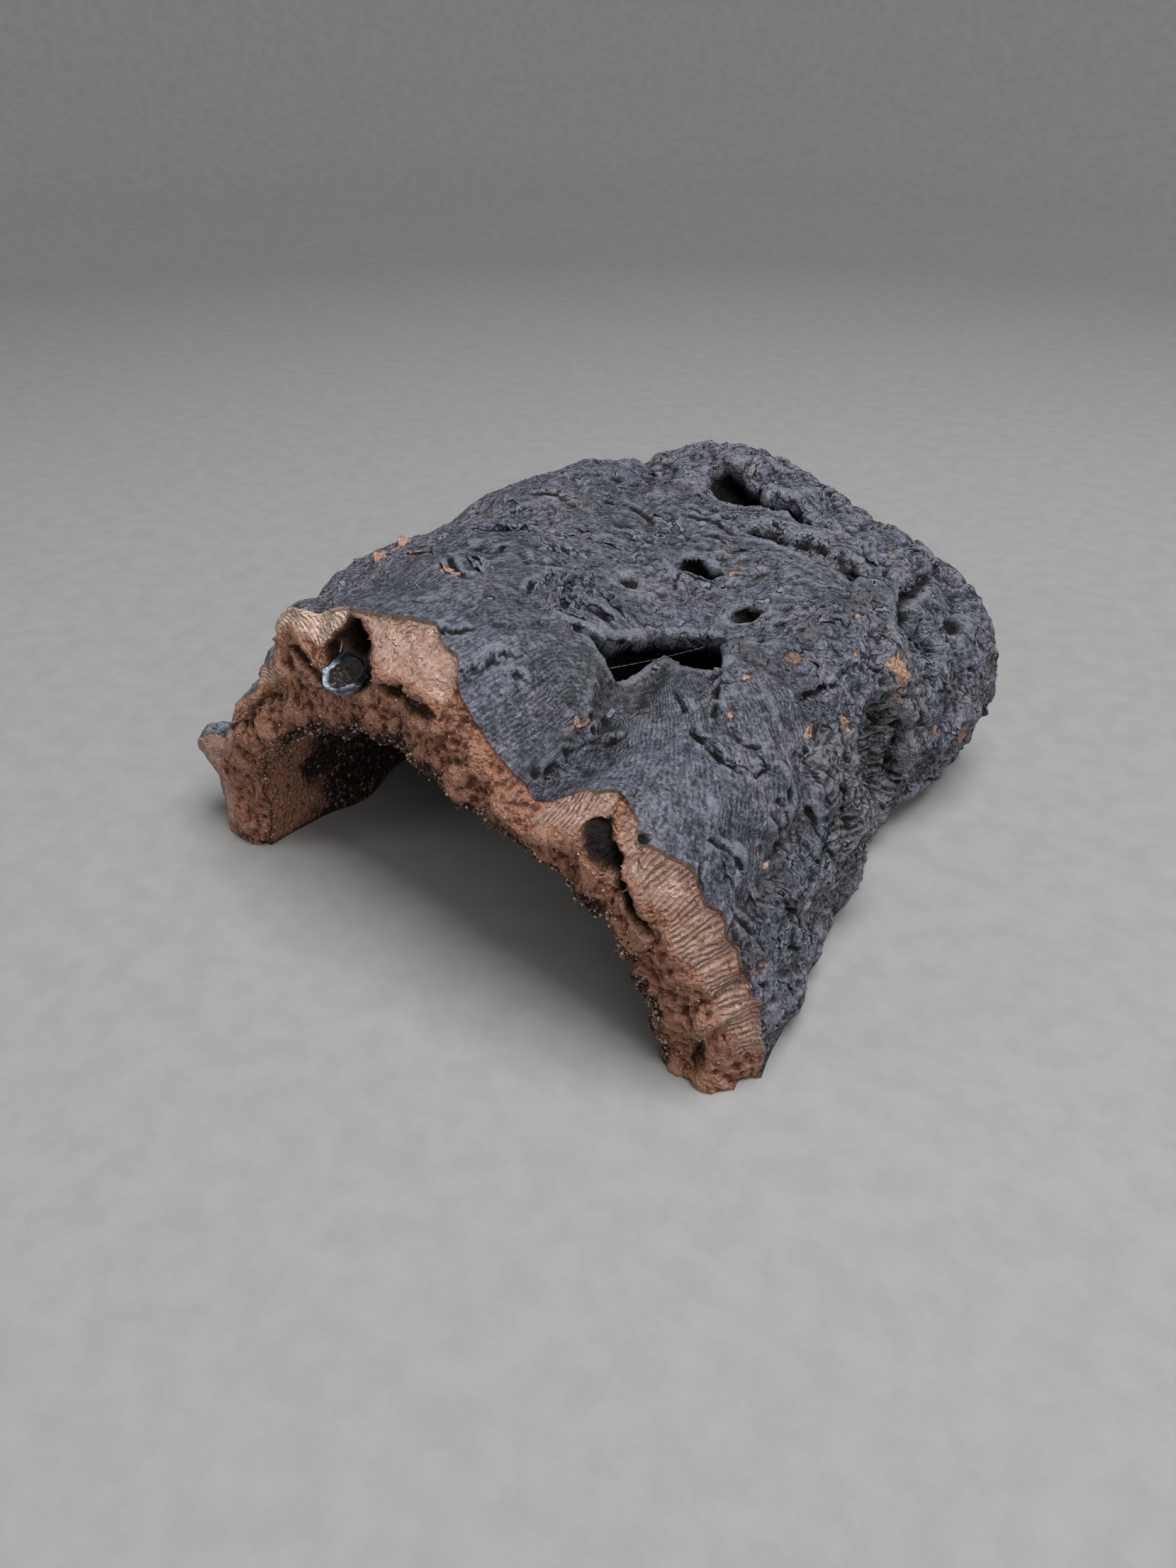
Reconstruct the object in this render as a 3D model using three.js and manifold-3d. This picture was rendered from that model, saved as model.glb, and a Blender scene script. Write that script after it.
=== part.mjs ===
// A piece of virgin cork bark: an arched slab, like a short half pipe, broken at both ends.
// Millimetres. +X runs across the arch, +Y along the growth of the trunk, +Z up.
// The photographed broken end is at the smaller Y, and the origin is under the middle of the piece.
import * as THREE from 'three';
import { mergeVertices } from 'three/addons/utils/BufferGeometryUtils.js';
import Module from 'manifold-3d';

// Driving dimensions.
const ARCH_RUN = 282; // along the weathered skin, from the left foot over the crown to the right foot
const MIDDLE_X = -8.6; // middle of the piece in the frame that the sections below are drawn in
const MIDDLE_Y = 79.48;
const FOOT_BLEND = 22; // height over which a lifted foot fades into the wall
const NEAR_BEVEL = 0.42; // share of the near break, from the skin inwards, that slopes back

// Steps of the faceted surface: round the arch, along the length and through the wall.
// Each pair is a step number and where it lies, so that the knotty middle has closer steps.
const ARCH_STEPS = [[0, 0], [7, 52], [17, 112], [45, 212], [57, 282]];
const LENGTH_STEPS = [[0, 0], [8, 0.22], [25, 0.56], [38, 1]];
const WALL_STEPS = 5;

// Sections across the arch at six places along the length: x and z of thirteen columns.
const STATION_Y = [0, 30, 60, 95, 130, 165];
const COLUMN_RUN = [0, 25, 52, 82, 108, 132, 152, 170, 184, 200, 220, 250, 282];
const SKIN_SECTIONS = [
  [[-97, 0], [-94, 20], [-77, 42], [-61, 60], [-47, 75], [-22, 81], [0, 75], [16, 61], [27, 54],
    [42, 60], [60, 53], [78, 30], [84, 0]],
  [[-95, 0], [-96, 23], [-87, 47], [-69, 70], [-49, 80], [-24, 82], [-2, 76], [14, 65], [26, 59],
    [42, 62], [60, 56], [74, 32], [78, 0]],
  [[-91, 0], [-94, 26], [-86, 50], [-67, 72], [-46, 82], [-24, 81], [-4, 76], [12, 67], [24, 63],
    [40, 66], [58, 62], [71, 34], [73, 0]],
  [[-88, 0], [-93, 26], [-85, 51], [-67, 75], [-46, 85], [-24, 82], [-4, 78], [12, 74], [26, 72],
    [40, 71], [55, 65], [69, 38], [67, 0]],
  [[-86, 0], [-91, 26], [-84, 52], [-65, 73], [-45, 83], [-22, 83], [-2, 80], [14, 77], [28, 73],
    [42, 68], [56, 58], [72, 35], [68, 0]],
  [[-84, 0], [-88, 26], [-80, 49], [-63, 66], [-42, 75], [-20, 83], [-2, 80], [13, 74], [26, 69],
    [41, 65], [57, 56], [74, 34], [70, 0]],
];
const BELLY_SECTIONS = [
  [[-73, 0], [-72, 20], [-65, 34], [-48, 45], [-34, 51], [-20, 53], [-4, 51], [13, 48], [28, 44],
    [42, 38], [52, 29], [58, 14], [62, 0]],
  [[-69, 0], [-70, 22], [-64, 38], [-50, 50], [-34, 58], [-20, 58], [-4, 54], [12, 48], [24, 44],
    [37, 42], [47, 32], [53, 16], [56, 0]],
  [[-68, 0], [-69, 22], [-63, 40], [-50, 54], [-34, 62], [-18, 62], [-4, 57], [10, 50], [22, 47],
    [36, 46], [46, 34], [52, 16], [54, 0]],
  [[-67, 0], [-68, 22], [-62, 40], [-49, 54], [-33, 62], [-17, 62], [-2, 59], [12, 55], [24, 53],
    [37, 49], [47, 36], [52, 18], [52, 0]],
  [[-66, 0], [-67, 22], [-60, 40], [-48, 54], [-32, 61], [-16, 63], [0, 62], [14, 60], [27, 57],
    [38, 50], [48, 36], [54, 18], [54, 0]],
  [[-66, 0], [-67, 22], [-60, 40], [-47, 54], [-31, 61], [-15, 64], [0, 63], [14, 60], [28, 56],
    [40, 50], [50, 36], [56, 18], [55, 0]],
];

// Where the skin and the belly end at each break: the run round the arch and the y of the edge.
const NEAR_SKIN_EDGE = [[0, 3], [25, 3], [52, 7], [82, 8], [100, 9], [115, 9], [128, 8],
  [137, 12], [148, 8], [155, 0], [169, -2], [182, 0], [190, 4], [200, 5], [212, -1], [230, 1],
  [245, 2], [262, 3], [282, 4]];
const NEAR_BELLY_EDGE = [[0, -1], [25, -1], [52, 0], [82, 2], [108, 1], [132, 0], [152, -3],
  [170, -5], [184, -6], [200, -7], [220, -7], [250, -6], [282, -4]];
const FAR_SKIN_EDGE = [[0, 158], [40, 162], [82, 160], [108, 156], [128, 160], [150, 164],
  [180, 161], [215, 165], [245, 163], [282, 158]];
const FAR_BELLY_EDGE = [[0, 160], [52, 163], [108, 163], [152, 160], [200, 163], [250, 162],
  [282, 160]];

// How far the foot on each side stands off the ground, along y. It rests where this is nought.
const LEFT_FOOT_LIFT = [[-12, 0], [32, 0], [44, 3], [80, 4.5], [112, 3], [124, 0], [170, 0]];
const RIGHT_FOOT_LIFT = [[-12, 0], [18, 0], [28, 2.5], [44, 2], [54, 0], [76, 0], [90, 4],
  [120, 6], [150, 5], [170, 4]];

// Swellings and hollows of the skin: run, y, half width, half length, turn in degrees, height.
const SWELLINGS = [
  [92, 6, 13, 15, 0, 5], [126, 128, 10, 12, 20, -3], [146, 152, 24, 8, -8, 2],
  [182, 148, 18, 7, 10, 1.5], [157, 128, 16, 9, 0, -2], [184, 104, 22, 9, 6, 1],
  [183, 121, 20, 4, 8, -3], [134, 62, 14, 8, 25, 1], [122, 46, 12, 7, 30, -1.5],
  [160, 30, 16, 20, 10, 1.5], [178, 44, 9, 20, 0, -3], [182, 16, 8, 18, 0, -1.5],
  [206, 58, 13, 20, 0, 1.5], [216, 88, 12, 12, 0, 1], [210, 20, 16, 22, 0, 1],
  [238, 58, 10, 13, 0, 2.5], [262, 66, 17, 12, 0, 3.5], [276, 30, 14, 20, 0, 1],
  [212, 146, 18, 12, 0, 2], [226, 124, 12, 10, 0, -2.5], [240, 148, 13, 12, 0, 1.5],
  [262, 138, 16, 11, 0, 1.5], [232, 108, 11, 9, 0, 1.5], [27, 6, 8, 8, 0, 8],
  [40, 60, 20, 24, 20, 3], [20, 110, 18, 20, 0, 2], [62, 124, 18, 16, 0, 2.5],
  [70, 84, 16, 12, 0, -4], [48, 30, 14, 12, 0, -3], [84, 50, 14, 14, 0, 1.5],
  [30, 148, 14, 12, 0, -3], [100, 142, 16, 13, 0, -6], [112, 136, 9, 9, 0, -5], [100, 72, 14, 10, 0, -2],
];

// Pockets sunk in the skin: outline as runs and y, width of the rim, depth, and how far the floor
// is shifted round the arch and along y, so that a flap of skin overhangs it.
const POCKETS = [
  { outline: [[157, 41], [162, 43], [166, 43], [170, 42], [174, 44], [176, 51], [177, 57],
    [178, 60], [182, 60], [188, 58], [194, 55], [199, 53], [198, 59], [190, 71], [184, 73],
    [176, 69], [172, 65], [169, 60], [167, 55], [165, 50], [162, 47]],
  rim: 2, depth: 14, shift: [-3, 7] },
  { outline: [[142, 128], [137, 138], [139, 145], [147, 145], [153, 142], [161, 138], [170, 138],
    [182, 141], [176, 134], [167, 131], [158, 131], [150, 127]], rim: 3, depth: 9, shift: [0, 8] },
  { outline: [[163, 114], [174, 119], [186, 121], [200, 128], [204, 117], [192, 114],
    [176, 114]], rim: 2.5, depth: 5, shift: [0, 3] },
  { outline: [[157, 87], [166, 94], [175, 94], [173, 88], [164, 85]], rim: 2.5, depth: 6,
    shift: [0, 4] },
  { outline: [[184, 79], [189, 86], [195, 85], [193, 78], [187, 76]], rim: 2.5, depth: 6,
    shift: [2, 3] },
  { outline: [[238, 76], [234, 88], [238, 102], [250, 110], [268, 108], [280, 98], [280, 84],
    [264, 80], [250, 73]], rim: 7, depth: 8, shift: [0, 2] },
  { outline: [[216, 120], [224, 132], [238, 136], [240, 126], [228, 117]], rim: 5, depth: 3,
    shift: [0, 2] },
  { outline: [[52, 96], [62, 106], [78, 104], [76, 94], [62, 90]], rim: 4, depth: 5,
    shift: [0, 3] },
];

// Lips and flakes: a path that the raised edge follows, with the raised side on its left, the
// height, how far back the rise reaches, and how far the edge hangs over.
const FLAKES = [
  { path: [[157, 42], [162, 46], [165, 49], [167, 54], [169, 59], [172, 64], [176, 68], [183, 72],
    [193, 72]], height: 2, reach: 11, hang: 3.5 },
  { path: [[135, 138], [138, 146], [147, 146], [153, 142], [161, 138], [170, 138], [186, 142]],
    height: 1.5, reach: 9, hang: 2 },
  { path: [[191, 70], [197, 58], [202, 48], [207, 34]], height: 2.4, reach: 12, hang: 1 },
  { path: [[162, 115], [174, 120], [188, 122], [204, 128]], height: 1, reach: 8, hang: 1.5 },
];

// The beetle gallery in the near break, and the silk cup in its mouth: places in the frame of the
// sections, radii and depth. The cup is spun round its own axis from the profile below.
const GALLERY = { x: -33, z: 74.5, mouth: 5.2, end: 3.2, from: -8, to: 20 };
const CUP_PLACE = { x: -33, y: 0, z: 68 };
const CUP_AXIS = [-0.1, -0.62, 0.78];
const CUP_PROFILE = [[0, -4.4], [3, -4.1], [5.1, -2.4], [6, 0.4], [5.4, 1.6], [4.3, 0.7], [0, -0.4]];
const CUP_HOLLOW_PROFILE = [[0, -4.7], [3.2, -4.4], [5.4, -2.6], [6.3, 0.4], [6.2, 3], [4, 6], [0, 7]];
const CUP_SIDES = 14;
const GALLERY_SIDES = 12;

const clamp = (value, low, high) => Math.min(high, Math.max(low, value));
const mix = (from, to, share) => from + (to - from) * share;
const smooth = (share) => {
  const s = clamp(share, 0, 1);
  return s * s * (3 - 2 * s);
};

// Value of a list of pairs at a place, on straight lines between them.
function along(pairs, place) {
  if (place <= pairs[0][0]) {
    return pairs[0][1];
  }
  for (let i = 1; i < pairs.length; i += 1) {
    if (place <= pairs[i][0]) {
      const share = (place - pairs[i - 1][0]) / (pairs[i][0] - pairs[i - 1][0]);
      return mix(pairs[i - 1][1], pairs[i][1], share);
    }
  }
  return pairs[pairs.length - 1][1];
}

// Smooth random height between -1 and 1 over a plane, with cells one unit wide.
function noise(p, q, seed) {
  const corner = (i, j) => {
    const wave = Math.sin(i * 127.1 + j * 311.7 + seed * 74.7) * 43758.5453;
    return 2 * (wave - Math.floor(wave)) - 1;
  };
  const i = Math.floor(p);
  const j = Math.floor(q);
  const u = smooth(p - i);
  const v = smooth(q - j);
  const low = mix(corner(i, j), corner(i + 1, j), u);
  const high = mix(corner(i, j + 1), corner(i + 1, j + 1), u);
  return mix(low, high, v);
}

const splineWeights = (f) => [
  -0.5 * f + f * f - 0.5 * f ** 3,
  1 - 2.5 * f * f + 1.5 * f ** 3,
  0.5 * f + 2 * f * f - 1.5 * f ** 3,
  -0.5 * f * f + 0.5 * f ** 3,
];

// The four rows or columns round a place, with the spline's weights; the ends run on straight.
function neighbours(knots, place) {
  let i = 0;
  while (i < knots.length - 2 && place > knots[i + 1]) {
    i += 1;
  }
  const f = clamp((place - knots[i]) / (knots[i + 1] - knots[i]), 0, 1);
  const last = knots.length - 1;
  const terms = [];
  splineWeights(f).forEach((weight, k) => {
    const n = i - 1 + k;
    if (n < 0) {
      terms.push([0, 2 * weight], [1, -weight]);
    } else if (n > last) {
      terms.push([last, 2 * weight], [last - 1, -weight]);
    } else {
      terms.push([n, weight]);
    }
  });
  return terms;
}

// A point of the smooth arch through the sections.
function archPoint(sections, run, y) {
  const point = new THREE.Vector3(0, y, 0);
  for (const [row, rowWeight] of neighbours(STATION_Y, y)) {
    for (const [column, columnWeight] of neighbours(COLUMN_RUN, run)) {
      const [x, z] = sections[row][column];
      point.x += x * rowWeight * columnWeight;
      point.z += z * rowWeight * columnWeight;
    }
  }
  return point;
}

// Directions of the arch at a place: round it, along it and out of it.
function archFrame(sections, run, y) {
  const round = archPoint(sections, Math.min(run + 1, ARCH_RUN), y)
    .sub(archPoint(sections, Math.max(run - 1, 0), y)).normalize();
  const length = archPoint(sections, run, y + 1).sub(archPoint(sections, run, y - 1)).normalize();
  return { round, length, out: new THREE.Vector3().crossVectors(round, length).normalize() };
}

// Nearest place on a path: distance, side (positive on its left) and share of the path's length.
function nearestOnPath(path, run, y) {
  let best = { distance: Infinity, side: 1, share: 0 };
  for (let i = 1; i < path.length; i += 1) {
    const [a0, y0] = path[i - 1];
    const da = path[i][0] - a0;
    const dy = path[i][1] - y0;
    const f = clamp(((run - a0) * da + (y - y0) * dy) / (da * da + dy * dy), 0, 1);
    const distance = Math.hypot(run - a0 - f * da, y - y0 - f * dy);
    if (distance < best.distance) {
      const cross = da * (y - y0) - dy * (run - a0);
      best = { distance, side: cross >= 0 ? 1 : -1, share: (i - 1 + f) / (path.length - 1) };
      best.across = [-dy / Math.hypot(da, dy), da / Math.hypot(da, dy)];
    }
  }
  return best;
}

function isInside(outline, run, y) {
  let inside = false;
  outline.forEach(([a0, y0], i) => {
    const [a1, y1] = outline[(i + 1) % outline.length];
    if ((y0 > y) !== (y1 > y) && run < ((a1 - a0) * (y - y0)) / (y1 - y0) + a0) {
      inside = !inside;
    }
  });
  return inside;
}

// Relief of the skin at a place: height out of it, and shifts round the arch and along y.
function skinRelief(run, y) {
  const knotty = Math.max(smooth((run - 205) / 30), smooth((y - 118) / 25), smooth((100 - run) / 40));
  let height = 1.1 * noise(run / 15, y / 19, 1) + (0.5 + 0.8 * knotty) * noise(run / 7, y / 8, 2);
  height += knotty * 2.4 * (0.3 - Math.abs(noise(run / 11, y / 12, 3)));
  let round = 0;
  let length = 0;
  for (const [run0, y0, halfRun, halfLength, turn, rise] of SWELLINGS) {
    const angle = THREE.MathUtils.degToRad(turn);
    const p = (run - run0) * Math.cos(angle) + (y - y0) * Math.sin(angle);
    const q = (y - y0) * Math.cos(angle) - (run - run0) * Math.sin(angle);
    const reach = 1 - (p / halfRun) ** 2 - (q / halfLength) ** 2;
    height += reach > 0 ? rise * smooth(reach) : 0;
  }
  for (const { path, height: rise, reach, hang } of FLAKES) {
    const { distance, side, share, across } = nearestOnPath(path, run, y);
    const ends = smooth(5 * share) * smooth(5 * (1 - share));
    const fall = side > 0 ? Math.exp(-((distance / reach) ** 2)) : smooth(1 - distance / 2.5);
    height += rise * ends * fall;
    const lean = hang * ends * (side > 0 ? Math.exp(-((distance / 5) ** 2)) : fall);
    round -= across[0] * lean;
    length -= across[1] * lean;
  }
  for (const { outline, rim, depth, shift } of POCKETS) {
    if (isInside(outline, run, y)) {
      const edge = nearestOnPath([...outline, outline[0]], run, y).distance;
      const sunk = smooth(edge / rim);
      height -= depth * sunk;
      round += shift[0] * sunk * sunk;
      length += shift[1] * sunk * sunk;
    }
  }
  return { height, round, length };
}

// Lifts what is near the ground by the foot's height there, and keeps the foot's edge level.
function liftFoot(point, run) {
  const lift = along(run < ARCH_RUN / 2 ? LEFT_FOOT_LIFT : RIGHT_FOOT_LIFT, point.y);
  const isEdge = run === 0 || run === ARCH_RUN;
  const raised = point.z + lift * Math.max(0, 1 - point.z / FOOT_BLEND);
  point.z = isEdge ? lift : Math.max(0.2, raised);
  return point;
}

function skinPoint(run, share) {
  const near = along(NEAR_SKIN_EDGE, run) + 1.2 * noise(run / 4, 0, 7);
  const far = along(FAR_SKIN_EDGE, run) + 2 * noise(run / 8, 0, 8);
  const y = mix(near, far, share);
  const { round, length, out } = archFrame(SKIN_SECTIONS, run, y);
  const relief = skinRelief(run, y);
  const point = archPoint(SKIN_SECTIONS, run, y);
  point.addScaledVector(out, relief.height * smooth(Math.min(run, ARCH_RUN - run) / 6 + 0.4));
  point.addScaledVector(round, relief.round).addScaledVector(length, relief.length);
  return liftFoot(point, run);
}

function bellyPoint(run, share) {
  const near = along(NEAR_BELLY_EDGE, run) + 1.5 * noise(run / 6, 0, 9);
  const far = along(FAR_BELLY_EDGE, run) + 2 * noise(run / 8, 0, 10);
  const y = mix(near, far, share);
  const point = archPoint(BELLY_SECTIONS, run, y);
  const height = 1.3 * noise(run / 13, y / 17, 11) + 0.8 * noise(run / 6, y / 7, 12);
  point.addScaledVector(archFrame(BELLY_SECTIONS, run, y).out, -height);
  return liftFoot(point, run);
}

// The break at either end, from the skin's edge inwards to the belly's.
function breakPoint(run, through, isNear) {
  const skin = skinPoint(run, isNear ? 0 : 1);
  const belly = bellyPoint(run, isNear ? 0 : 1);
  const point = skin.clone().lerp(belly, through);
  const within = smooth(4 * through) * smooth(4 * (1 - through));
  const slope = smooth(through / NEAR_BEVEL);
  point.y = mix(skin.y, belly.y, isNear ? slope : through);
  const rough = 1.6 * noise(run / 7, through * 3, isNear ? 13 : 14);
  point.y += within * (isNear ? rough - 1 : rough + 1.5);
  return point;
}

// The underside of a foot, from the skin's edge inwards to the belly's.
function footPoint(run, share, through) {
  return skinPoint(run, share).lerp(bellyPoint(run, share), through);
}

// The whole piece is the surface of a bent block: steps i round the arch, j along it and k through.
function barkGeometry() {
  const columns = ARCH_STEPS[ARCH_STEPS.length - 1][0];
  const rows = LENGTH_STEPS[LENGTH_STEPS.length - 1][0];
  const positions = [];
  const indexOf = new Map();
  const vertex = (i, j, k) => {
    const key = `${i},${j},${k}`;
    if (!indexOf.has(key)) {
      const run = along(ARCH_STEPS, i);
      const share = along(LENGTH_STEPS, j);
      const through = k / WALL_STEPS;
      let point;
      if (k === 0) {
        point = skinPoint(run, share);
      } else if (k === WALL_STEPS) {
        point = bellyPoint(run, share);
      } else if (j === 0 || j === rows) {
        point = breakPoint(run, through, j === 0);
      } else {
        point = footPoint(run, share, through);
      }
      indexOf.set(key, positions.length / 3);
      positions.push(point.x - MIDDLE_X, point.y - MIDDLE_Y, point.z);
    }
    return indexOf.get(key);
  };
  const triangles = [];
  const quad = (a, b, c, d) => triangles.push(a, b, c, a, c, d);
  for (let i = 0; i < columns; i += 1) {
    for (let j = 0; j < rows; j += 1) {
      quad(vertex(i, j, 0), vertex(i + 1, j, 0), vertex(i + 1, j + 1, 0), vertex(i, j + 1, 0));
      const w = WALL_STEPS;
      quad(vertex(i, j, w), vertex(i, j + 1, w), vertex(i + 1, j + 1, w), vertex(i + 1, j, w));
    }
    for (let k = 0; k < WALL_STEPS; k += 1) {
      quad(vertex(i, 0, k), vertex(i, 0, k + 1), vertex(i + 1, 0, k + 1), vertex(i + 1, 0, k));
      quad(vertex(i, rows, k), vertex(i + 1, rows, k), vertex(i + 1, rows, k + 1),
        vertex(i, rows, k + 1));
    }
  }
  for (let j = 0; j < rows; j += 1) {
    for (let k = 0; k < WALL_STEPS; k += 1) {
      quad(vertex(0, j, k), vertex(0, j + 1, k), vertex(0, j + 1, k + 1), vertex(0, j, k + 1));
      const c = columns;
      quad(vertex(c, j, k), vertex(c, j, k + 1), vertex(c, j + 1, k + 1), vertex(c, j + 1, k));
    }
  }
  const geometry = new THREE.BufferGeometry();
  geometry.setAttribute('position', new THREE.Float32BufferAttribute(positions, 3));
  geometry.setIndex(triangles);
  return geometry;
}

const wasm = await Module();
wasm.setup();

// A closed solid from a geometry, and the geometry of a solid.
function solidOf(geometry) {
  const bare = geometry.clone();
  bare.deleteAttribute('normal');
  bare.deleteAttribute('uv');
  const merged = mergeVertices(bare, 1e-4);
  return new wasm.Manifold(new wasm.Mesh({
    numProp: 3,
    vertProperties: new Float32Array(merged.attributes.position.array),
    triVerts: new Uint32Array(merged.index.array),
  }));
}

function geometryOf(solid) {
  const { vertProperties, triVerts } = solid.getMesh();
  const geometry = new THREE.BufferGeometry();
  geometry.setAttribute('position', new THREE.BufferAttribute(vertProperties, 3));
  geometry.setIndex(new THREE.BufferAttribute(triVerts, 1));
  return geometry;
}

const spin = (profile) => new THREE.LatheGeometry(
  profile.map(([radius, height]) => new THREE.Vector2(radius, height)),
  CUP_SIDES,
);

const cup = new THREE.Mesh(
  spin(CUP_PROFILE),
  new THREE.MeshStandardMaterial({ color: 0x8f9bab, roughness: 0.7, metalness: 0 }),
);
cup.name = 'silk_cup';
cup.position.set(CUP_PLACE.x - MIDDLE_X, CUP_PLACE.y - MIDDLE_Y, CUP_PLACE.z);
const up = new THREE.Vector3(0, 1, 0);
cup.quaternion.setFromUnitVectors(up, new THREE.Vector3(...CUP_AXIS).normalize());
cup.updateMatrix();

const gallery = new THREE.CylinderGeometry(
  GALLERY.end,
  GALLERY.mouth,
  GALLERY.to - GALLERY.from,
  GALLERY_SIDES,
);
gallery.translate(
  GALLERY.x - MIDDLE_X,
  (GALLERY.from + GALLERY.to) / 2 - MIDDLE_Y,
  GALLERY.z,
);

const hollows = [gallery, spin(CUP_HOLLOW_PROFILE).applyMatrix4(cup.matrix)];
const bored = hollows.reduce((solid, hollow) => solid.subtract(solidOf(hollow)), solidOf(barkGeometry()));

const bark = new THREE.Mesh(
  geometryOf(bored),
  new THREE.MeshStandardMaterial({ color: 0x4d4f55, roughness: 0.92, metalness: 0 }),
);
bark.name = 'cork_bark';

const piece = new THREE.Group();
piece.add(bark, cup);

export default piece;
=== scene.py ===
# %% [markdown]
# A piece of virgin cork bark, in cells.
# The real thing is a slab stripped from an old trunk. It grew as an arch, weathered to a bluish
# grey outside, and broke at both ends, where the pale and rusty cork shows. A moth or beetle left a
# gallery and a silk cup in the near break.
# The cells build it from the skin inwards: the camera first, then the shape, then the finishes.

import math
from functools import partial

import bmesh
import bpy
import numpy as np
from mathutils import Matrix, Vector


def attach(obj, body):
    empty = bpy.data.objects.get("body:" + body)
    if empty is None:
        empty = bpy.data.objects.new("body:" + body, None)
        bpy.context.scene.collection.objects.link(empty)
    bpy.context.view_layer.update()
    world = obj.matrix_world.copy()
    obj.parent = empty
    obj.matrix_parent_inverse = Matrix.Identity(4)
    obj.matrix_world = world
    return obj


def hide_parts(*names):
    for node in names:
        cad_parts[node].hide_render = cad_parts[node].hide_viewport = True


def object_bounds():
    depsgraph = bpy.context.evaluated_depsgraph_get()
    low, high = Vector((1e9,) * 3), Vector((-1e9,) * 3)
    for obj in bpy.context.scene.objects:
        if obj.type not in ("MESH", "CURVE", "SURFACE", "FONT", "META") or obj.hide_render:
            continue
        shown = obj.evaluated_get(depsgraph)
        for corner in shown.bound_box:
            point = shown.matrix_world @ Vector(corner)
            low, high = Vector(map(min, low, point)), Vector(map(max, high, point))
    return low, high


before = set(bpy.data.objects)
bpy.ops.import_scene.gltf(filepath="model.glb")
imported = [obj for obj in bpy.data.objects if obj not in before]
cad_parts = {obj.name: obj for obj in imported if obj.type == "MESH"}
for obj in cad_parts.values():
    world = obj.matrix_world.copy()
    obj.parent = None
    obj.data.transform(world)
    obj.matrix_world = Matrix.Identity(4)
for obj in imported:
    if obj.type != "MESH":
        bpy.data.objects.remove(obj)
cad_low, cad_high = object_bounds()
MM = 0.001
print("packed nodes:", sorted(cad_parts))
print("CAD box in mm:", [round(v / MM, 1) for v in (*cad_low, *cad_high)])

# %% [markdown]
# The camera stands where a hand held phone would be, some 34 cm from the piece's middle, looking
# down over the near break. The view could be set by eye. It is worked out instead, because every
# crack and chip is placed by how it lines up from there.

# %% The camera
CAMERA_PLACE = (166.1, -247.4, 200.0)  # mm, in the part's frame
CAMERA_TURN = 35.5  # degrees that it looks to the left of the part's +Y
CAMERA_DROP = 33.5  # degrees that it looks down
PHOTO_HEIGHT = 2212  # pixels, the long side of the frame
FOCAL_PIXELS = 1660
SENSOR = 36.0  # mm, on the long side

camera_data = bpy.data.cameras.new("camera")
camera_data.sensor_fit = "AUTO"
camera_data.sensor_width = SENSOR
camera_data.lens = SENSOR * FOCAL_PIXELS / PHOTO_HEIGHT
camera_data.clip_start = 0.01
camera = bpy.data.objects.new("camera", camera_data)
camera.location = Vector(CAMERA_PLACE) * MM
camera.rotation_euler = (math.radians(90 - CAMERA_DROP), 0, math.radians(CAMERA_TURN))
bpy.context.collection.objects.link(camera)
bpy.context.scene.camera = camera
print("lens:", round(camera_data.lens, 2), "mm")

# %% [markdown]
# Bark is rough at every scale, and nothing about it repeats. A displacement texture could roughen
# a plain arch, but then no crack would be where the real one is. Here the surface is a formula of
# two lengths: the run, in mm along the skin from the left foot over the crown to the right one,
# and y, in mm along the trunk. The helpers below give smooth steps, random heights and distances
# to a drawn path, for whole grids of points at once.

# %% Helpers for grids of numbers
HASH = (127.1, 311.7, 74.7)  # any unlike numbers do
HASH_GAIN = 43758.5453


def smooth(share):
    s = np.clip(share, 0.0, 1.0)
    return s * s * (3.0 - 2.0 * s)


def mix(low, high, share):
    return low + (high - low) * share


def along(pairs, place):
    """Value of a list of pairs at a place, on straight lines between them."""
    places, values = np.array(pairs, float).T
    return np.interp(place, places, values)


def noise(p, q, seed):
    """Smooth random height from -1 to 1 over a plane, with cells one unit wide."""
    def corner(i, j):
        wave = np.sin(i * HASH[0] + j * HASH[1] + seed * HASH[2]) * HASH_GAIN
        return 2.0 * (wave - np.floor(wave)) - 1.0

    p, q = np.broadcast_arrays(np.asarray(p, float), np.asarray(q, float))
    i, j = np.floor(p), np.floor(q)
    u, v = smooth(p - i), smooth(q - j)
    near = mix(corner(i, j), corner(i + 1, j), u)
    far = mix(corner(i, j + 1), corner(i + 1, j + 1), u)
    return mix(near, far, v)


def crumb(points, cell, seed):
    """Smooth random height from -1 to 1 in space, so that it never stretches on a slope."""
    place = points / cell
    base = np.floor(place)
    part = smooth(place - base)
    total = np.zeros(points.shape[:-1])
    for corner in np.ndindex(2, 2, 2):
        wave = np.sin((base + corner) @ HASH + seed * HASH[2]) * HASH_GAIN
        value = 2.0 * (wave - np.floor(wave)) - 1.0
        total += value * np.prod(np.where(corner, part, 1.0 - part), axis=-1)
    return total


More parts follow.
